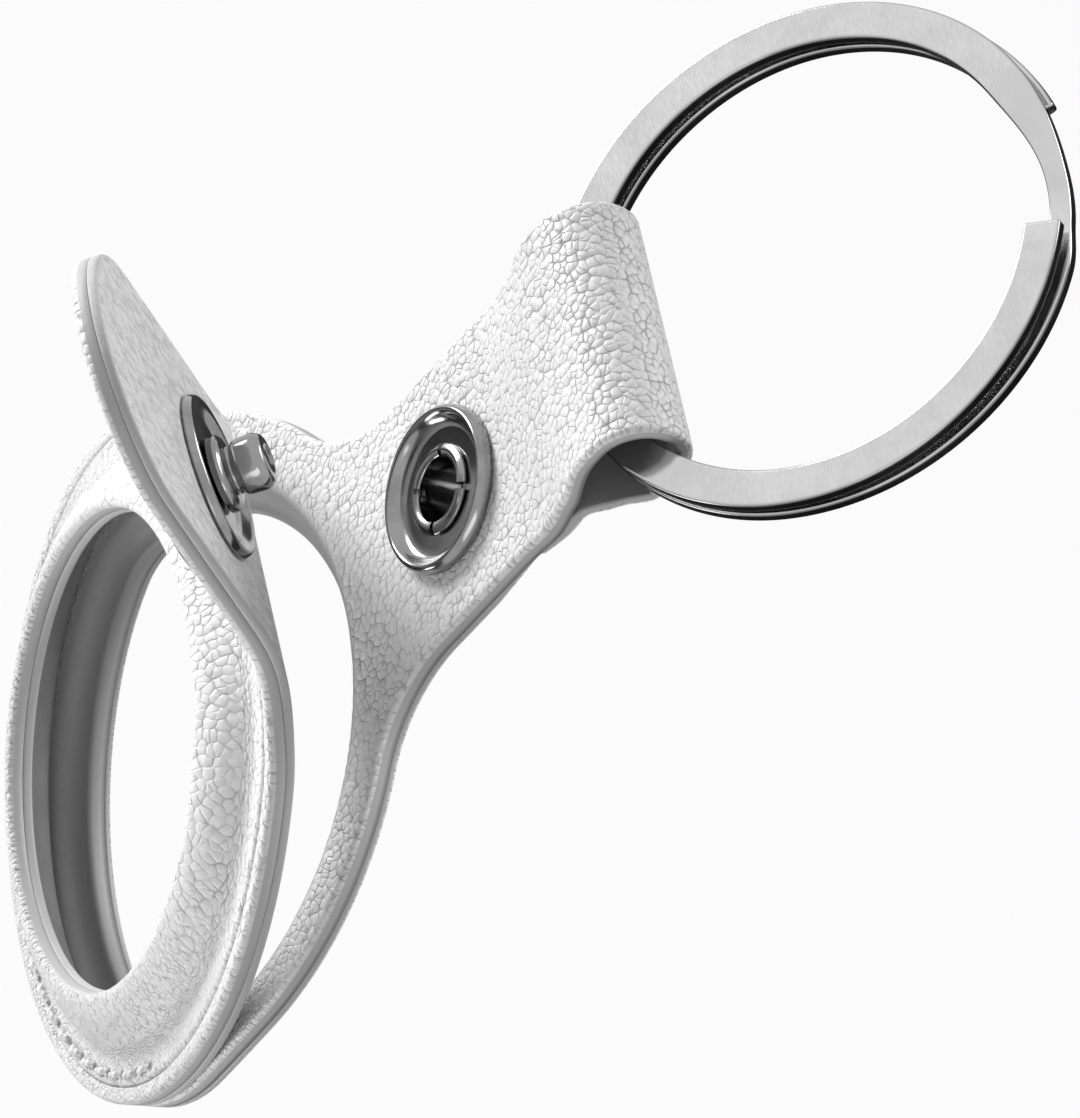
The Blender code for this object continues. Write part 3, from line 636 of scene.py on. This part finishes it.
# %% Snap dishes
def dish(name, frame_matrix, hole_r, rim_h, recess_r):
    profile = [(hole_r, 0.03), (4.75, 0.03), (5.0, 0.25), (5.0, rim_h - 0.4), (4.78, rim_h), (4.5, rim_h),
               (recess_r + 0.12, 0.5), (recess_r - 0.3, 0.34), (hole_r + 0.3, 0.4), (hole_r, 0.5), (hole_r, 0.3)]
    radii = [0, 0.2, 0.2, 0.25, 0.2, 0.25, 0.3, 0.3, 0.3, 0.08, 0]
    return finish_mesh(name, [spin(rounded(profile, radii), 128, frame_matrix)])


socket_ring = dish("socket_ring", socket_frame, 2.35, 1.1, 4.0)
stud_ring = dish("stud_ring", stud_frame, 1.4, 0.8, 3.75)

# %% [markdown]
# The stud's pin has a foot that holds its dish, a neck and a rounded head that snaps into the socket.

# %% Stud pin
pin = [(0, -2.1), (1.25, -2.1), (1.25, 0.55), (2.3, 0.55), (2.3, 1.05), (1.95, 1.3), (1.42, 1.42), (1.4, 1.62),
       (1.62, 1.85), (1.68, 2.7), (1.68, 3.1), (1.42, 3.56), (0.9, 3.6), (0.62, 3.48), (0, 3.44)]
pin_radii = [0, 0.1, 0, 0.05, 0.15, 0.15, 0.1, 0.1, 0.15, 0.2, 0.25, 0.2, 0.15, 0.12, 0]
stud_pin = finish_mesh("stud_pin", [spin(rounded(pin, pin_radii), 96, stud_frame)])

# %% [markdown]
# The caps close the snap behind the leather.  They are low domes with a flat top and a rolled edge.

# %% Caps
def cap(name, frame_matrix, recess_r):
    profile = [(0, 0.6), (recess_r, 0.6), (recess_r, 0.02), (5.25, 0.02), (5.4, 0.2), (5.38, 0.45), (4.9, 0.8),
               (4.1, 1.08), (3.2, 1.2), (0, 1.2)]
    radii = [0, 0.05, 0, 0.1, 0.15, 0.2, 0.4, 0.4, 0.5, 0]
    return finish_mesh(name, [spin(rounded(profile, radii), 96, frame_matrix)])


socket_back_cap = cap("socket_back_cap", socket_cap_frame, 2.45)
stud_front_cap = cap("stud_front_cap", stud_cap_frame, 1.45)

# %% [markdown]
# Node trees do two jobs here: Geometry Nodes repeat a piece, and shader nodes make the finishes.
# One small class of helpers keeps both kinds readable.

# %% Node helpers
class Nodes:
    def __init__(self, tree):
        self.tree = tree

    def node(self, kind, **settings):
        made = self.tree.nodes.new(kind)
        for key, value in settings.items():
            setattr(made, key, value)
        return made

    def put(self, socket, value):
        """Links a socket to another node's output, or sets its plain value."""
        if isinstance(value, bpy.types.NodeSocket):
            self.tree.links.new(value, socket)
        elif value is not None:
            socket.default_value = value

    def add(self, kind, values=(), output=0, **settings):
        """Adds a node, fills its inputs by name or number, and returns one of its outputs."""
        made = self.node(kind, **settings)
        for key, value in dict(values).items():
            self.put(made.inputs[key], value)
        return made.outputs[output]

    def math(self, operation, *values):
        return self.add("ShaderNodeMath", enumerate(values), operation=operation)

    def times(self, first, *others):
        for other in others:
            first = self.math("MULTIPLY", first, other)
        return first

    def hypotenuse(self, a, b):
        return self.math("SQRT", self.math("ADD", self.math("POWER", a, 2.0), self.math("POWER", b, 2.0)))


class Repeater(Nodes):
    """A Geometry Nodes tree with named inputs, the last of them the material of what it makes."""

    def __init__(self, name, inputs):
        super().__init__(bpy.data.node_groups.new(name, "GeometryNodeTree"))
        self.tree.interface.new_socket("Geometry", in_out="OUTPUT", socket_type="NodeSocketGeometry")
        for title, kind, value in (*inputs, ("Material", "NodeSocketMaterial", None)):
            socket = self.tree.interface.new_socket(title, in_out="INPUT", socket_type=kind)
            if value is not None:
                socket.default_value = value
        self.given = self.node("NodeGroupInput").outputs

    def finish(self, points, piece, rotation):
        """Sets the piece on the points, makes the copies real and gives them their material."""
        placed = self.add("GeometryNodeInstanceOnPoints", {"Points": points, "Instance": piece, "Rotation": rotation})
        real = self.add("GeometryNodeRealizeInstances", {"Geometry": placed})
        done = self.add("GeometryNodeSetMaterial", {"Geometry": real, "Material": self.given["Material"]})
        self.put(self.node("NodeGroupOutput").inputs[0], done)
        return self.tree


# %% [markdown]
# The socket's sleeve is a tube whose end is cut into fingers and curled over the dish.
# One finger is modelled.  Geometry Nodes set it round the axis as often as the Count input says.

# %% A tree that sets a piece round an axis
def round_tree():
    tree = Repeater("set_round_axis", (("Piece", "NodeSocketObject", None), ("Count", "NodeSocketInt", 4),
                                       ("First angle", "NodeSocketFloat", 0.0)))
    count, first_angle = tree.given["Count"], tree.given["First angle"]
    step = tree.math("DIVIDE", math.tau, count)
    angle = tree.math("MULTIPLY_ADD", tree.add("GeometryNodeInputIndex"), step, first_angle)
    return tree.finish(tree.add("GeometryNodePoints", {"Count": count}),
                       tree.add("GeometryNodeObjectInfo", {"Object": tree.given["Piece"]}, "Geometry"),
                       tree.add("ShaderNodeCombineXYZ", {"Z": angle}))


def grow(name, tree, values, matrix):
    """Runs a tree with named values and returns its result as a plain mesh object, placed by the matrix."""
    holder = bpy.data.objects.new(name + "_holder", bpy.data.meshes.new(name + "_holder"))
    bpy.context.scene.collection.objects.link(holder)
    modifier = holder.modifiers.new("Tree", "NODES")
    modifier.node_group = tree
    for item in tree.interface.items_tree:
        if item.in_out == "INPUT" and item.name in values:
            modifier[item.identifier] = values[item.name]
    bpy.context.view_layer.update()
    graph = bpy.context.evaluated_depsgraph_get()
    mesh = bpy.data.meshes.new_from_object(holder.evaluated_get(graph), depsgraph=graph)
    holder.modifiers.remove(modifier)
    bpy.data.objects.remove(holder, do_unlink=True)
    mesh.name = name
    mesh.transform(matrix)
    mesh.shade_smooth()
    obj = bpy.data.objects.new(name, mesh)
    bpy.context.scene.collection.objects.link(obj)
    print(name, len(mesh.polygons), "faces")
    return obj


# %% [markdown]
# Every finish is a node material.  A few more helpers make the shader nodes that come up again and again.

# %% Shader helpers
class Finish(Nodes):
    def __init__(self, name, roughness, metallic=0.0):
        self.material = bpy.data.materials.new(name)
        self.material.use_nodes = True
        super().__init__(self.material.node_tree)
        self.shader = self.tree.nodes["Principled BSDF"]
        self.out("Roughness", roughness)
        self.out("Metallic", metallic)

    def vector(self, operation, a, b=None, scale=None):
        return self.add("ShaderNodeVectorMath", {0: a, 1: b, 3: scale}, operation=operation)

    def attribute(self, name, output="Fac"):
        return self.add("ShaderNodeAttribute", (), output, attribute_name=name)

    def local(self):
        return self.add("ShaderNodeTexCoord", (), "Object")

    def noise(self, where, scale, detail=3.0, roughness=0.55, output="Fac"):
        return self.add("ShaderNodeTexNoise", {"Vector": where, "Scale": scale, "Detail": detail,
                                               "Roughness": roughness}, output)

    def span(self, value, low, high, out_low=0.0, out_high=1.0):
        numbers = enumerate((value, low, high, out_low, out_high))
        return self.add("ShaderNodeMapRange", numbers, interpolation_type="SMOOTHSTEP")

    def blend(self, share, a, b):
        return self.add("ShaderNodeMix", {0: share, 6: a, 7: b}, 2, data_type="RGBA")

    def bump(self, height, distance, strength):
        return self.add("ShaderNodeBump", {"Height": height, "Distance": distance, "Strength": strength})

    def out(self, name, value):
        self.put(self.shader.inputs[name], value)


def grey(value):
    return (value, value, value, 1)


# %% [markdown]
# The leather is embossed with small rounded pebbles, about half a millimetre across, finer towards the foot.
# A Voronoi pattern gives cells.  Each pebble is highest at its own point, and in places a valley runs at its edge.
# Noise bends the cells first, because real pebbles are never straight-sided.  Cut edges are painted smooth.

# %% Pebbled leather
VALLEY_DEPTH = 0.45


def pebbles(finish, where, scale, wobble):
    bent = finish.noise(where, scale * 0.55, 2.0, output="Color")
    shift = finish.vector("SCALE", finish.vector("SUBTRACT", bent, (0.5, 0.5, 0.5)), scale=wobble)
    cell_place = finish.vector("ADD", where, shift)
    to_edge, to_point = (finish.add("ShaderNodeTexVoronoi", {"Vector": cell_place, "Scale": scale}, "Distance",
                                    feature=feature, voronoi_dimensions="2D")
                         for feature in ("DISTANCE_TO_EDGE", "F1"))
    crown = finish.math("SUBTRACT", 1.0, finish.math("POWER", to_point, 2.0))
    patchy = finish.span(finish.noise(where, scale * 0.7, 2.0), 0.38, 0.58, 0.05, 1.0)
    valley = finish.times(finish.span(to_edge, 0.15, 0.0), patchy)
    return finish.math("SUBTRACT", crown, finish.times(valley, VALLEY_DEPTH))


leather = Finish("white_pebbled_leather", 0.5)
place = leather.attribute("pattern", "Vector")
leather_x, leather_s = (leather.add("ShaderNodeSeparateXYZ", {0: place}, axis) for axis in "XY")
foot_share = leather.span(leather_s, 0.012, -0.01)
coarse = pebbles(leather, place, 1950.0, 0.0004)
fine = pebbles(leather, place, 3400.0, 0.0003)
grain = leather.add("ShaderNodeMix", {0: foot_share, 2: coarse, 3: fine})
height = leather.math("MULTIPLY_ADD", leather.noise(place, 6500.0, 2.0), 0.14, grain)
painted = leather.span(leather.attribute("cut_edge"), 0.3, 0.6)
# Inside the dome's foot the back half's pocket face gets painted shade: a darker, smooth tone.
wall = leather.span(leather.attribute("reach"), 0.0001, -0.0008)
outer_side = leather.attribute("outer")
back_body = leather.span(leather.attribute("back_half"), 0.4, 0.6)
painted_pocket_shade = leather.times(wall, leather.math("SUBTRACT", 1.0, outer_side), back_body)
flesh = leather.times(leather.span(outer_side, 0.55, 0.9), back_body)
print("leather nodes:", len(leather.tree.nodes))

# %% [markdown]
# The stitches at the foot lie in small holes, pricked along an arc, and the finish paints shade into each hole.
# The arc's angle, counted in stitch pitches, says how far a point is from the next hole.

# %% Stitch holes, and the leather's colour and relief
SEAM_R, STITCH_PITCH, STITCHES = 18.8 * MM, 2.15 * MM, 21
seam_angle = leather.math("ARCTAN2", leather_x, leather.times(leather_s, -1.0))
pitches = leather.times(seam_angle, SEAM_R / STITCH_PITCH)
beside_hole = leather.times(leather.math("SUBTRACT", leather.math("FRACT", pitches), 0.5), STITCH_PITCH)
off_seam = leather.math("SUBTRACT", leather.hypotenuse(leather_x, leather_s), SEAM_R)
in_row = leather.math("LESS_THAN", leather.math("ABSOLUTE", pitches), STITCHES / 2 + 0.25)
near_hole = leather.span(leather.hypotenuse(beside_hole, off_seam), 0.00042, 0.00015)
hole = leather.times(near_hole, in_row, outer_side)

smooth = leather.math("MAXIMUM", painted, leather.math("MAXIMUM", painted_pocket_shade, flesh))
bare = leather.math("SUBTRACT", 1.0, smooth)
front_share = leather.times(foot_share, leather.math("SUBTRACT", 1.0, back_body))
tone = leather.blend(leather.span(grain, 0.1, 0.6), grey(0.66), grey(0.83))
# The tone then takes, in turn: random clouds, a greyer front foot, painted shade in the crease line, the edge paint,
# painted shade inside the pocket, the darker flesh side, and painted shade in the stitch holes.
for share, strength, value in (
        (leather.noise(place, 180.0, 2.0), 0.2, 0.7), (front_share, 0.5, 0.56),
        (leather.attribute("crease_and_shade"), 0.6, 0.3), (painted, 1.0, 0.5), (painted_pocket_shade, 1.0, 0.34),
        (flesh, 1.0, 0.3), (hole, 0.85, 0.12)):
    tone = leather.blend(leather.times(share, strength), tone, grey(value))
leather.out("Base Color", tone)
leather.out("Roughness", leather.math("MULTIPLY_ADD", bare, -0.06, 0.5))
height = leather.math("SUBTRACT", height, hole)
leather.out("Normal", leather.bump(height, 0.00013, leather.math("MULTIPLY_ADD", bare, 0.92, 0.05)))
print("leather nodes:", len(leather.tree.nodes))

# %% [markdown]
# The lining is split leather, smooth and brushed along its length.
# Stretching a noise along the pattern's s direction turns spots into fine streaks.
# Inside the pocket it gets a painted shade and is satin; on the tab it keeps its light tone.

# %% Brushed lining
lining = Finish("brushed_lining", 0.6)
place = lining.attribute("pattern", "Vector")
streaks = lining.noise(lining.vector("MULTIPLY", place, (1.0, 0.3, 1.0)), 3600.0, 3.0, 0.6)
nap = lining.noise(place, 5200.0, 2.0)
on_tab = lining.span(lining.add("ShaderNodeSeparateXYZ", {0: place}, "Y"), 0.0165, 0.0195)
light_tone = lining.blend(lining.span(streaks, 0.32, 0.62), grey(0.5), grey(0.74))
# Inside the pocket the same lining gets a painted shade, a much darker tone.
painted_shade_tone = lining.blend(lining.noise(place, 420.0), grey(0.13), grey(0.22))
tone = lining.blend(on_tab, painted_shade_tone, light_tone)
edge = lining.span(lining.attribute("cut_edge"), 0.25, 0.8)
lining.out("Base Color", lining.blend(edge, tone, grey(0.52)))
lining.out("Roughness", lining.span(streaks, 0.2, 0.8, 0.5, 0.7))
relief = lining.math("MULTIPLY_ADD", nap, 0.5, streaks)
lining.out("Normal", lining.bump(relief, 0.00006, lining.math("MULTIPLY_ADD", on_tab, 0.6, 0.1)))
print("lining nodes:", len(lining.tree.nodes))

# %% [markdown]
# The snap is plated dark, like gunmetal, and was polished on a lathe; stretched noise gives it fine marks.
# The split ring is brighter nickel with faint drawing marks.

# %% Plated metals
def metal(name, tone_low, tone_high, roughness, scale):
    finish = Finish(name, roughness, 1.0)
    where = finish.local()
    clouds = finish.noise(where, scale)
    marks = finish.noise(finish.vector("MULTIPLY", where, (1.0, 3.0, 9.0)), scale * 6)
    finish.out("Base Color", finish.blend(finish.span(clouds, 0.3, 0.7), grey(tone_low), grey(tone_high)))
    finish.out("Roughness", finish.span(marks, 0.3, 0.7, roughness * 0.8, roughness * 1.35))
    finish.out("Normal", finish.bump(marks, 0.000004, 0.35))
    return finish


gunmetal = metal("dark_snap_plating", 0.24, 0.31, 0.13, 500.0)
nickel = metal("polished_nickel", 0.57, 0.64, 0.13, 300.0)
# The wire's narrow walls get a painted dark reflection, a base colour much darker than its flats.
flats = nickel.shader.inputs["Base Color"].links[0].from_socket
nickel.out("Base Color", nickel.blend(nickel.attribute("wall"), flats, grey(0.09)))

# %% [markdown]
# Sewing thread is twisted, so slanting ridges run round it.
# A wave pattern on the thread's own coordinates gives them.

# %% Thread
thread = Finish("waxed_thread", 0.62)
twist = thread.add("ShaderNodeTexWave", {"Vector": thread.local(), "Scale": 900.0}, "Fac",
                   bands_direction="DIAGONAL")
thread.out("Base Color", thread.blend(twist, grey(0.5), grey(0.74)))
thread.out("Normal", thread.bump(twist, 0.00005, 0.7))

# %% Give the leather pieces their finishes
for piece, share in ((front_skin, 0.0), (back_skin, 1.0), (backing_skin, 0.0)):
    values = np.full(len(piece.data.vertices), share)
    piece.data.attributes.new("back_half", "FLOAT", "POINT").data.foreach_set("value", values)
    piece.data.materials.append(leather.material)
front_lining_skin.data.materials.append(lining.material)
for piece in (socket_ring, stud_ring, stud_pin, socket_back_cap, stud_front_cap):
    piece.data.materials.append(gunmetal.material)
print("materials:", sorted(m.name for m in bpy.data.materials if m.users)[:8])

# %% [markdown]
# Now the socket's sleeve: a plain tube through the leather, and four curled fingers set round it by the tree.

# %% Socket sleeve
SLEEVE_FINGERS = 4
finger_profile = rounded([(1.9, 0.1), (2.26, 0.1), (2.26, 0.5), (2.72, 0.5), (2.72, 0.66), (2.3, 0.86), (1.9, 0.72)],
                         [0, 0, 0.1, 0.1, 0.1, 0.25, 0.15])
finger_share = math.radians(360 / SLEEVE_FINGERS - 9)
finger = finish_mesh("sleeve_finger", [spin(finger_profile, 20, Matrix.Identity(4), -finger_share / 2, finger_share)])
fingers = grow("sleeve_fingers", round_tree(), {"Piece": finger, "Count": SLEEVE_FINGERS,
                                                "First angle": math.radians(15), "Material": gunmetal.material},
               socket_frame)
bpy.data.objects.remove(finger, do_unlink=True)
tube = spin([(1.95, -2.1), (2.24, -2.1), (2.24, 0.2), (1.95, 0.2)], 96, socket_frame)
sleeve_parts = [tube]
bm = bmesh.new()
bm.from_mesh(fingers.data)
sleeve_parts.append(bm)
bpy.data.objects.remove(fingers, do_unlink=True)
socket_sleeve = finish_mesh("socket_sleeve", sleeve_parts)
socket_sleeve.data.materials.clear()
socket_sleeve.data.materials.append(gunmetal.material)
for polygon in socket_sleeve.data.polygons:
    polygon.material_index = 0

# %% [markdown]
# The split ring is one flat wire wound in two turns.
# Near its ends the wire steps from the front turn to the back one, and it is narrower on that step.
# The back turn springs outwards a little towards its end.
# A rounded section is carried along that route.  Its ends are drawn in slightly, as filed ends are.
# The attribute wall marks the wire's narrow sides, where a dark reflection is painted: a base much darker than the
# flats.

# %% Split ring
WIRE_W, WIRE_T, COIL_PITCH = 2.3 * MM, 0.8 * MM, 1.22 * MM
KEY_MID_R = 14.85 * MM
JOGGLE, END_GAP, END_AT = math.radians(38), math.radians(3), math.radians(71)
KEY_BACK = math.radians(30) - STRAP_LEAN - HANG_TILT
key_centre = Vector((0, -math.sin(KEY_BACK), -math.cos(KEY_BACK))) * 13.7 * MM
key_frame = Matrix.Translation(key_centre) @ Matrix.Rotation(math.radians(90) - KEY_BACK, 4, "X")
section = []
ROUND = 0.16 * MM
for cx, cz, first in ((1, 1, 0), (-1, 1, 90), (-1, -1, 180), (1, -1, 270)):
    for angle, beyond in ((0, -0.05), (0, 0), (22.5, 0), (45, 0), (67.5, 0), (90, 0), (90, 0.05)):
        a = math.radians(first + angle)
        u = cx * (WIRE_W / 2 - ROUND) + ROUND * math.cos(a) - math.sin(a) * beyond * MM
        v = cz * (WIRE_T / 2 - ROUND) + ROUND * math.sin(a) + math.cos(a) * beyond * MM
        section.append((u, v))
TURN_STEPS = 640
BACK_END = math.radians(30)
total_turn = 2 * math.tau - BACK_END
joggle_start = math.tau - JOGGLE - END_GAP
end_steps = [(0.0, 0.82), (0.05, 0.93), (0.14, 1.0)]
stations = [(inset * MM / KEY_MID_R, scale) for inset, scale in end_steps]
stations += [(0.2 * MM / KEY_MID_R + (total_turn - 0.4 * MM / KEY_MID_R) * i / TURN_STEPS, 1.0)
             for i in range(TURN_STEPS + 1)]
stations += [(total_turn - inset * MM / KEY_MID_R, scale) for inset, scale in reversed(end_steps)]
bm = bmesh.new()
rings = []
for turn, scale in stations:
    share = min(1.0, max(0.0, (turn - joggle_start) / JOGGLE))
    height = COIL_PITCH / 2 * math.cos(math.pi * share)
    a = END_AT - turn
    squeeze = eased((share - 0.05) / 0.7) * (1 - eased((turn - joggle_start - JOGGLE) / math.radians(12)))
    spring = 0.45 * MM * share * max(0.0, math.cos(a - END_AT)) ** 2
    middle = KEY_MID_R + spring + 0.1 * MM * squeeze
    shrink_w, shrink_t = (1 - (1 - scale) * 0.4) * (1 - 0.42 * squeeze), scale
    rings.append([bm.verts.new(((middle + u * shrink_w) * math.cos(a), (middle + u * shrink_w) * math.sin(a),
                                height + v * shrink_t)) for u, v in section])
for here, there in zip(rings, rings[1:]):
    for k in range(len(section)):
        j = (k + 1) % len(section)
        bm.faces.new((here[k], there[k], there[j], here[j]))
bm.faces.new(rings[0])
bm.faces.new(rings[-1][::-1])
bmesh.ops.recalc_face_normals(bm, faces=bm.faces)
bmesh.ops.transform(bm, matrix=key_frame, verts=bm.verts)
wire_ring = finish_mesh("wire_ring", [bm])
wire_ring.data.materials.append(nickel.material)
painted_dark_reflection = np.clip((np.abs([u for u, v in section]) - WIRE_W / 2 + ROUND) / ROUND, 0, 1) ** 2
wire_ring.data.attributes.new("wall", "FLOAT", "POINT").data.foreach_set("value", np.tile(painted_dark_reflection, len(stations)))

# %% [markdown]
# The seam at the foot is a row of separate short stitches.  Each one rises from a hole, bows over the leather and
# goes down again, so one bowed piece of thread is swept along a curve and set along an arc by Geometry Nodes.

# %% Stitches
def stitch_tree():
    tree = Repeater("stitch_row", [("Count", "NodeSocketInt", STITCHES)] + [
        (title, "NodeSocketFloat", value) for title, value in (
            ("Pitch", STITCH_PITCH), ("Seam radius", SEAM_R), ("Length", 1.4 * MM),
            ("Thread radius", 0.2 * MM), ("Rise", 0.24 * MM), ("Slant", 0.12))])
    count, pitch, seam_r, length, thread_r, rise, slant = (tree.given[i] for i in range(7))
    calc, times = tree.math, tree.times

    def triple(*values):
        return tree.add("ShaderNodeCombineXYZ", enumerate(values))

    half, dip = times(length, 0.5), times(thread_r, -1.3)
    bow = tree.add("GeometryNodeCurvePrimitiveBezierSegment", {
        "Resolution": 10, "Start": triple(times(half, -1.0), 0.0, dip), "End": triple(half, 0.0, dip),
        "Start Handle": triple(times(half, -0.8), 0.0, rise), "End Handle": triple(times(half, 0.8), 0.0, rise)})
    circle = tree.add("GeometryNodeCurvePrimitiveCircle", {"Resolution": 10, "Radius": thread_r})
    piece = tree.add("GeometryNodeCurveToMesh", {"Curve": bow, "Profile Curve": circle, "Fill Caps": True})
    middle = times(calc("SUBTRACT", count, 1.0), 0.5)
    along_seam = times(calc("SUBTRACT", tree.add("GeometryNodeInputIndex"), middle), pitch)
    angle = calc("DIVIDE", along_seam, seam_r)
    spot = triple(times(calc("SINE", angle), seam_r), times(calc("COSINE", angle), seam_r, -1.0), 0.0)
    points = tree.add("GeometryNodePoints", {"Count": count, "Position": spot})
    return tree.finish(points, piece, triple(0.0, 0.0, calc("ADD", angle, slant)))


stitch_row = stitch_tree()
pocket_pose = Matrix.Translation((0, RING_CENTRE.x, RING_CENTRE.y)) @ Matrix.Rotation(HANG_TILT, 4, "X")
pocket_pose = pocket_pose @ Matrix.Translation((0, 0, -FLEX_BELOW)) @ Matrix.Rotation(POCKET_OPEN, 4, "X")
pocket_pose = pocket_pose @ Matrix.Translation((0, 0, FLEX_BELOW))
surface = HALF_GAP + LEATHER
front_seam = pocket_pose @ Matrix.Translation((0, -surface, 0)) @ Matrix.Rotation(math.radians(90), 4, "X")
flip = Matrix.Rotation(math.pi, 4, "Y")
back_seam = pocket_pose @ Matrix.Translation((0, surface, 0)) @ Matrix.Rotation(math.radians(90), 4, "X") @ flip
front_stitches = grow("front_stitches", stitch_row, {"Material": thread.material}, front_seam)
back_stitches = grow("back_stitches", stitch_row, {"Material": thread.material}, back_seam)

# %% [markdown]
# Each piece now takes the place of its CAD node; the metal pieces and the stitches also move with their bodies.
# The leather pieces only have their placement baked into their meshes.

# %% Bodies
for piece, body, nodes, slot in (
        (wire_ring, "key_ring", ("key_ring",), "nickel"),
        (socket_ring, "strap", ("socket_dish",), "gunmetal"),
        (socket_sleeve, "strap", ("socket_collar",), "gunmetal"),
        (socket_back_cap, "strap", ("socket_cap",), "gunmetal"),
        (stud_ring, "tab", ("stud_dish",), "gunmetal"),
        (stud_pin, "tab", ("stud_post",), "gunmetal"),
        (stud_front_cap, "tab", ("stud_cap",), "gunmetal"),
        (front_stitches, "pocket", ("top_thread",), "thread"),
        (back_stitches, "pocket", ("bobbin_thread",), "thread")):
    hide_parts(*nodes)
    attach(piece, body)

tab_blend = world_point(place_front, 18.2 * MM, LEATHER / 2), world_point(place_front, 22.5 * MM, LEATHER / 2)
flex_blend = world_point(place_back, 2.5 * MM, LEATHER / 2), world_point(place_back, -4.5 * MM, LEATHER / 2)
for piece, nodes, slot, bodies, ends in (
        (front_skin, ("front_leather", "tab_leather"), "leather", ("pocket", "tab"), tab_blend),
        (front_lining_skin, ("front_lining", "tab_lining"), "lining", ("pocket", "tab"), tab_blend),
        (back_skin, ("strap_leather", "foot_leather"), "leather", ("strap", "pocket"), flex_blend),
        (backing_skin, ("strap_backing", "foot_backing"), "leather", ("strap", "pocket"), flex_blend)):
    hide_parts(*nodes)
    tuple(ends[0])
    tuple(ends[1])
    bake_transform(piece)

# %% [markdown]
# The picture was taken in a white studio.  A pale floor lies well below, and lamps shine through large soft boxes.
# The world is white where the camera or a reflection sees it, and plain grey as a light.

# %% Studio
FLOOR_Z = -0.45
WORLD_LIGHT, FLOOR_GLOW = 0.27, 0.93


def seen_by_eye(nodes):
    """1 for a ray of the camera, of a reflection or through glass, and 0 for any other."""
    rays = nodes.node("ShaderNodeLightPath").outputs
    seen = nodes.math("MAXIMUM", rays["Is Camera Ray"], rays["Is Glossy Ray"])
    return nodes.math("MAXIMUM", seen, rays["Is Transmission Ray"])


world = bpy.data.worlds.new("studio")
bpy.context.scene.world = world
world.use_nodes = True
sky = Nodes(world.node_tree)
level = sky.add("ShaderNodeMapRange", {"Value": seen_by_eye(sky), "To Min": WORLD_LIGHT, "To Max": 1.0})
background = world.node_tree.nodes["Background"]
sky.put(background.inputs["Color"], (1, 1, 1, 1))
sky.put(background.inputs["Strength"], level)

floor_finish = Finish("pale_floor", 0.9)
floor_tone = floor_finish.noise(floor_finish.local(), 3.0)
floor_finish.out("Base Color", floor_finish.blend(floor_tone, grey(0.88), grey(0.92)))
white = floor_finish.add("ShaderNodeEmission", {"Color": (1, 1, 1, 1)})
mixed = floor_finish.add("ShaderNodeMixShader", {0: floor_finish.times(seen_by_eye(floor_finish), FLOOR_GLOW),
                                                 1: floor_finish.shader.outputs[0], 2: white})
floor_finish.put(floor_finish.tree.nodes["Material Output"].inputs["Surface"], mixed)
floor_mesh = bpy.data.meshes.new("floor")
floor_mesh.from_pydata([(-6, -6, FLOOR_Z), (6, -6, FLOOR_Z), (6, 6, FLOOR_Z), (-6, 6, FLOOR_Z)], [], [(0, 1, 2, 3)])
floor = bpy.data.objects.new("floor", floor_mesh)
floor.data.materials.append(floor_finish.material)
bpy.context.scene.collection.objects.link(floor)

# %% Lamps and cards
AIM = Vector((0, -0.006, -0.045))


def facing(place, direction):
    """A pose at a place, with its Z axis along a direction."""
    return Matrix.Translation(place) @ Vector(direction).to_track_quat("Z", "Y").to_matrix().to_4x4()


def soft_box(name, direction, distance, width, height, power):
    data = bpy.data.lights.new(name, "AREA")
    data.shape, data.size, data.size_y, data.energy = "RECTANGLE", width, height, power
    lamp = bpy.data.objects.new(name, data)
    direction = Vector(direction).normalized()
    lamp.matrix_world = facing(AIM + direction * distance, direction)
    lamp.visible_camera = False
    bpy.context.scene.collection.objects.link(lamp)


soft_box("key_box", (-0.8, -0.5, -0.3), 0.9, 0.4, 0.4, 10.6)
soft_box("top_box", (-0.3, 0.35, 1.0), 0.9, 0.5, 0.5, 5.5)
soft_box("side_box", (0.95, -0.3, 0.1), 0.9, 0.4, 0.6, 1.2)
soft_box("low_box", (0.28, -0.1, -0.95), 0.36, 0.16, 0.16, 0.5)


def dark_card(name, place, direction, width, height):
    """A dark card that only reflections see, for the black lines in polished metal."""
    mesh = bpy.data.meshes.new(name)
    w, h = width / 2, height / 2
    mesh.from_pydata([(-w, -h, 0), (w, -h, 0), (w, h, 0), (-w, h, 0)], [], [(0, 1, 2, 3)])
    card = bpy.data.objects.new(name, mesh)
    card.matrix_world = facing(place, direction)
    card.visible_camera = card.visible_diffuse = card.visible_shadow = card.visible_transmission = False
    card.data.materials.append(card_finish.material)
    bpy.context.scene.collection.objects.link(card)


card_finish = Finish("dark_card", 0.9)
card_tone = card_finish.noise(card_finish.local(), 4.0)
card_finish.out("Base Color", card_finish.blend(card_tone, grey(0.02), grey(0.05)))
dark_card("card_below", (-0.15, 0.1, -0.42), (0, 0, 1), 0.6, 1.0)
dark_card("card_behind", AIM + Vector((-0.05, 0.36, -0.09)), (0.05, -0.36, 0.09), 0.9, 0.8)
bpy.context.scene.view_settings.view_transform = "Standard"
